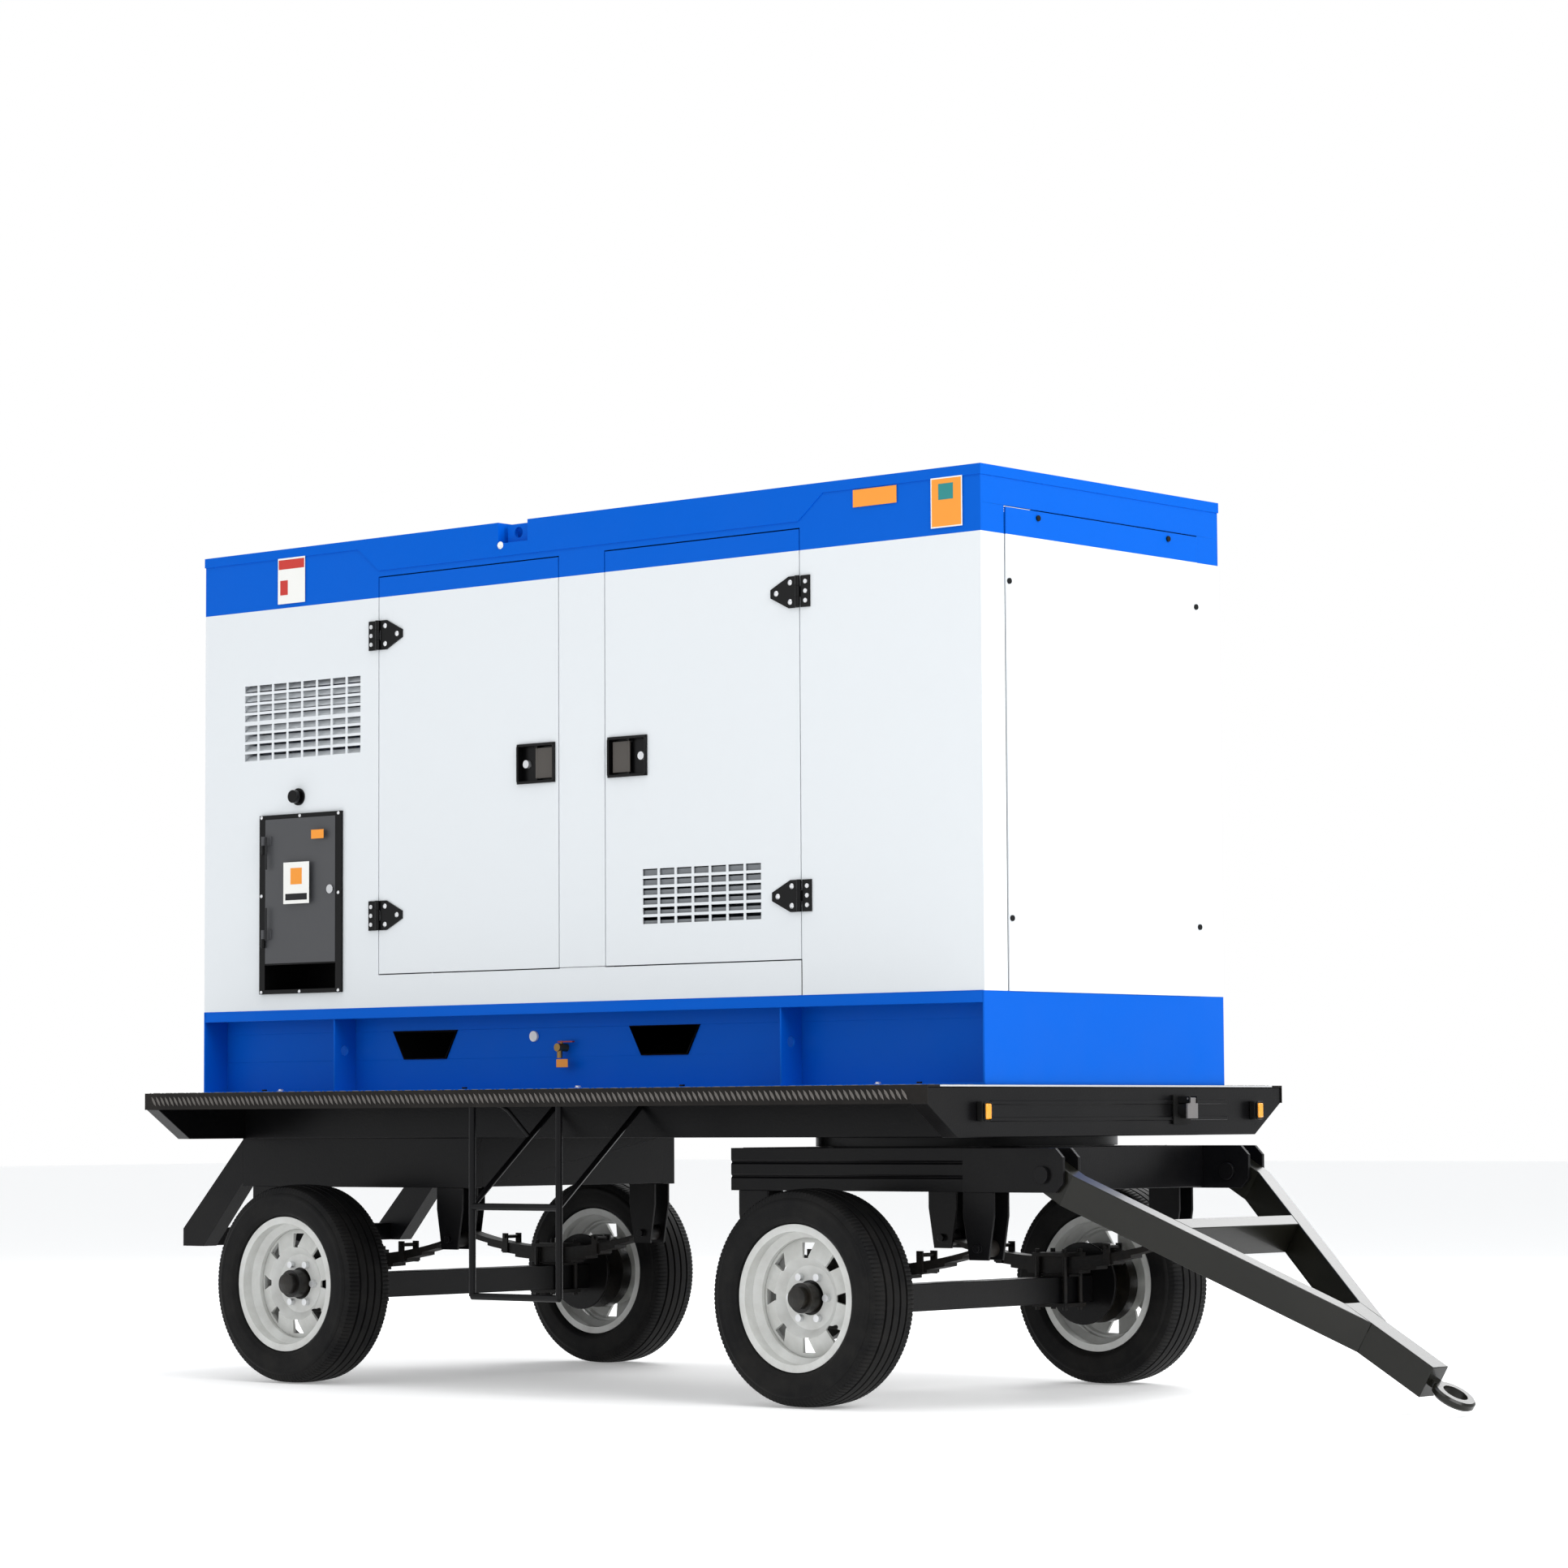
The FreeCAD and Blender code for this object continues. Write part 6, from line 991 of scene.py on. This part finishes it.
def rim(name, centre, across, up, out, half_wide, half_high, radius, wide, proud, material, body, slot):
    """A frame of the given width that stands proud of its face, with both edges eased."""
    bm = bmesh.new()
    loops = []
    for inset, rise in ((0, 0), (0, proud * 0.7), (wide * 0.2, proud),
                        (wide * 0.8, proud), (wide, proud * 0.6), (wide, 0)):
        corner = max(radius - inset, 0.0008)
        outline = rounded_outline(half_wide - inset, half_high - inset, corner)
        loops.append([bm.verts.new(centre + across * x + up * y + out * rise) for x, y in outline])
    count = len(loops[0])
    for index, loop in enumerate(loops):
        after = loops[(index + 1) % len(loops)]
        for step in range(count):
            follow = (step + 1) % count
            bm.faces.new((loop[step], loop[follow], after[follow], after[step])).smooth = True
    bmesh.ops.recalc_face_normals(bm, faces=bm.faces)
    mesh = bpy.data.meshes.new(name)
    bm.to_mesh(mesh)
    bm.free()
    mesh.materials.append(material)
    return add_piece(name, mesh, body, slot)


LATCH_PROUD = 0.006
FORWARD = Vector(AHEAD)
LATCH_RIM = (0.012, 0.008, 0.003)
LAMP_HALF, LAMP_RIM = (0.0185, 0.0285), (0.009, 0.0045, 0.006)
for name in DOORS:
    latch = island_boxes("door_fittings_" + name, *LATCH_TALL)[0]
    side = -1 if latch[0].y < 0 else 1
    centre = (latch[0] + latch[1]) / 2
    centre.y = side * (SIDE + LATCH_PROUD)
    half = (latch[1] - latch[0]) / 2
    rim("latch_rim_" + name, centre, FORWARD, Vector(UP), Vector(OUT[side]), half.x, half.z, *LATCH_RIM,
        fitting_black, "door_body_" + name, "black_hardware")

for number, (low, high) in enumerate(island_boxes("marker_lamp_lenses", 0, 1)):
    centre = Vector((low.x, (low.y + high.y) / 2, (low.z + high.z) / 2))
    rim("lamp_rim_%d" % (number + 1), centre, Vector((0, 1, 0)), Vector(UP), FORWARD, *LAMP_HALF, *LAMP_RIM,
        fitting_black, "chassis", "lamp_black")

# %% [markdown]
# ## Louvres and sound foam
# Behind the punched slots lie flat steel louvres, and every door is lined with grey foam held a
# little inside its edges. Both show only at an angle or with a door open, but they tell what the
# machine is. They ride on the doors.

# %% Door linings
VENT_HIGH = (1.461, 1.652)
VENT_BEHIND = (1.371, 0.860)
FOAM_IN, FOAM_THICK, FOAM_GAP, FOAM_LATCH = 0.055, 0.018, 0.0035, 0.02
LOUVRES = 6
for name in DOORS:
    low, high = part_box("door_" + name)
    side = -1 if low.y < 0 else 1
    near, far = sorted((side * (SIDE - FOAM_GAP), side * (SIDE - FOAM_GAP - FOAM_THICK)))
    foot = VENT_HIGH[1] + FOAM_IN if name == "front_right" else low.z + FOAM_IN
    latch = island_boxes("door_fittings_" + name, *LATCH_TALL)[0]
    for part, bottom, top in (("low", foot, latch[0].z - FOAM_LATCH),
                              ("high", latch[1].z + FOAM_LATCH, high.z - FOAM_IN)):
        plate("foam_%s_%s" % (part, name), (low.x + FOAM_IN, near, bottom), (high.x - FOAM_IN, far, top),
              foam_grey, "door_body_" + name, 0.004)

LOUVRE_SHARE = 0.62
pitch = (VENT_HIGH[1] - VENT_HIGH[0]) / LOUVRES
for number in range(LOUVRES):
    foot = VENT_HIGH[0] + pitch * number
    side_plate("door_louvre_%d" % (number + 1), *VENT_BEHIND, foot, foot + pitch * LOUVRE_SHARE,
               -(SIDE - 0.012), slat_grey, "door_body_front_right", 0.004)

# %% [markdown]
# ## Bent rod and tyre valves
# A round rod runs from the ladder forward under the deck, drawn as a short path with a round section.
# Each wheel has its tyre valve, a small black stem between two windows of the disc.

# %% Rod and valves


def rod(name, points, radius, material, body, slot):
    """A round bar through points, bent where they turn."""
    curve = bpy.data.curves.new(name, "CURVE")
    curve.dimensions = "3D"
    curve.bevel_depth = radius
    curve.bevel_resolution = 3
    curve.use_fill_caps = True
    line = curve.splines.new("POLY")
    line.points.add(len(points) - 1)
    for point, spot in zip(line.points, points):
        point.co = (*spot, 1)
    holder = bpy.data.objects.new(name + "_path", curve)
    bpy.context.scene.collection.objects.link(holder)
    graph = bpy.context.evaluated_depsgraph_get()
    mesh = bpy.data.meshes.new_from_object(holder.evaluated_get(graph), depsgraph=graph)
    bpy.data.objects.remove(holder)
    mesh.materials.clear()
    mesh.materials.append(material)
    return add_piece(name, mesh, body, slot)


ladder_low, ladder_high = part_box("step_ladder")
ROD_RADIUS = 0.007
rod_y = ladder_low.y + 0.030
rod("ladder_rod", [(ladder_low.x + 0.012, rod_y, ladder_high.z - 0.030),
                   (ladder_low.x + 0.120, rod_y, ladder_high.z - 0.045),
                   (ladder_low.x + 0.150, rod_y, ladder_high.z - 0.060),
                   (ladder_low.x + 0.190, rod_y + 0.05, ladder_high.z - 0.140)],
    ROD_RADIUS, chassis_paint, "chassis", "chassis_black")
STEM = lathe("valve_stem", [(0.0065, -0.004), (0.0060, 0.004), (0.0042, 0.008), (0.0042, 0.026),
                            (0.0030, 0.030)], 12)
VALVE_RADIUS, VALVE_ANGLE, VALVE_BACK = 0.152, math.radians(-33), 0.036
for name in WHEELS:
    low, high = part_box("wheel_" + name)
    side = -1 if low.y < 0 else 1
    middle = (low + high) / 2
    face = (low.y if side < 0 else high.y) - side * VALVE_BACK
    at = (middle.x + VALVE_RADIUS * math.cos(VALVE_ANGLE), face,
          middle.z + VALVE_RADIUS * math.sin(VALVE_ANGLE))
    scatter("valve_stem_" + name, [(at, OUT[side], 0)], STEM, rubber_black, "wheel_body_" + name)

# %% [markdown]
# ## Floor
# A plain pale floor catches a soft contact shadow under the tyres. It is a stage piece and is no part
# of the generator.

# %% Lay the floor


def add_floor():
    bm = bmesh.new()
    corners = [(-FLOOR_HALF, -FLOOR_HALF, 0), (FLOOR_HALF, -FLOOR_HALF, 0), (FLOOR_HALF, FLOOR_HALF, 0),
               (-FLOOR_HALF, FLOOR_HALF, 0)]
    bm.faces.new([bm.verts.new(corner) for corner in corners])
    mesh = bpy.data.meshes.new("studio_floor")
    bm.to_mesh(mesh)
    bm.free()
    mesh.materials.append(FLOOR)
    floor = bpy.data.objects.new("studio_floor", mesh)
    bpy.context.scene.collection.objects.link(floor)


add_floor()
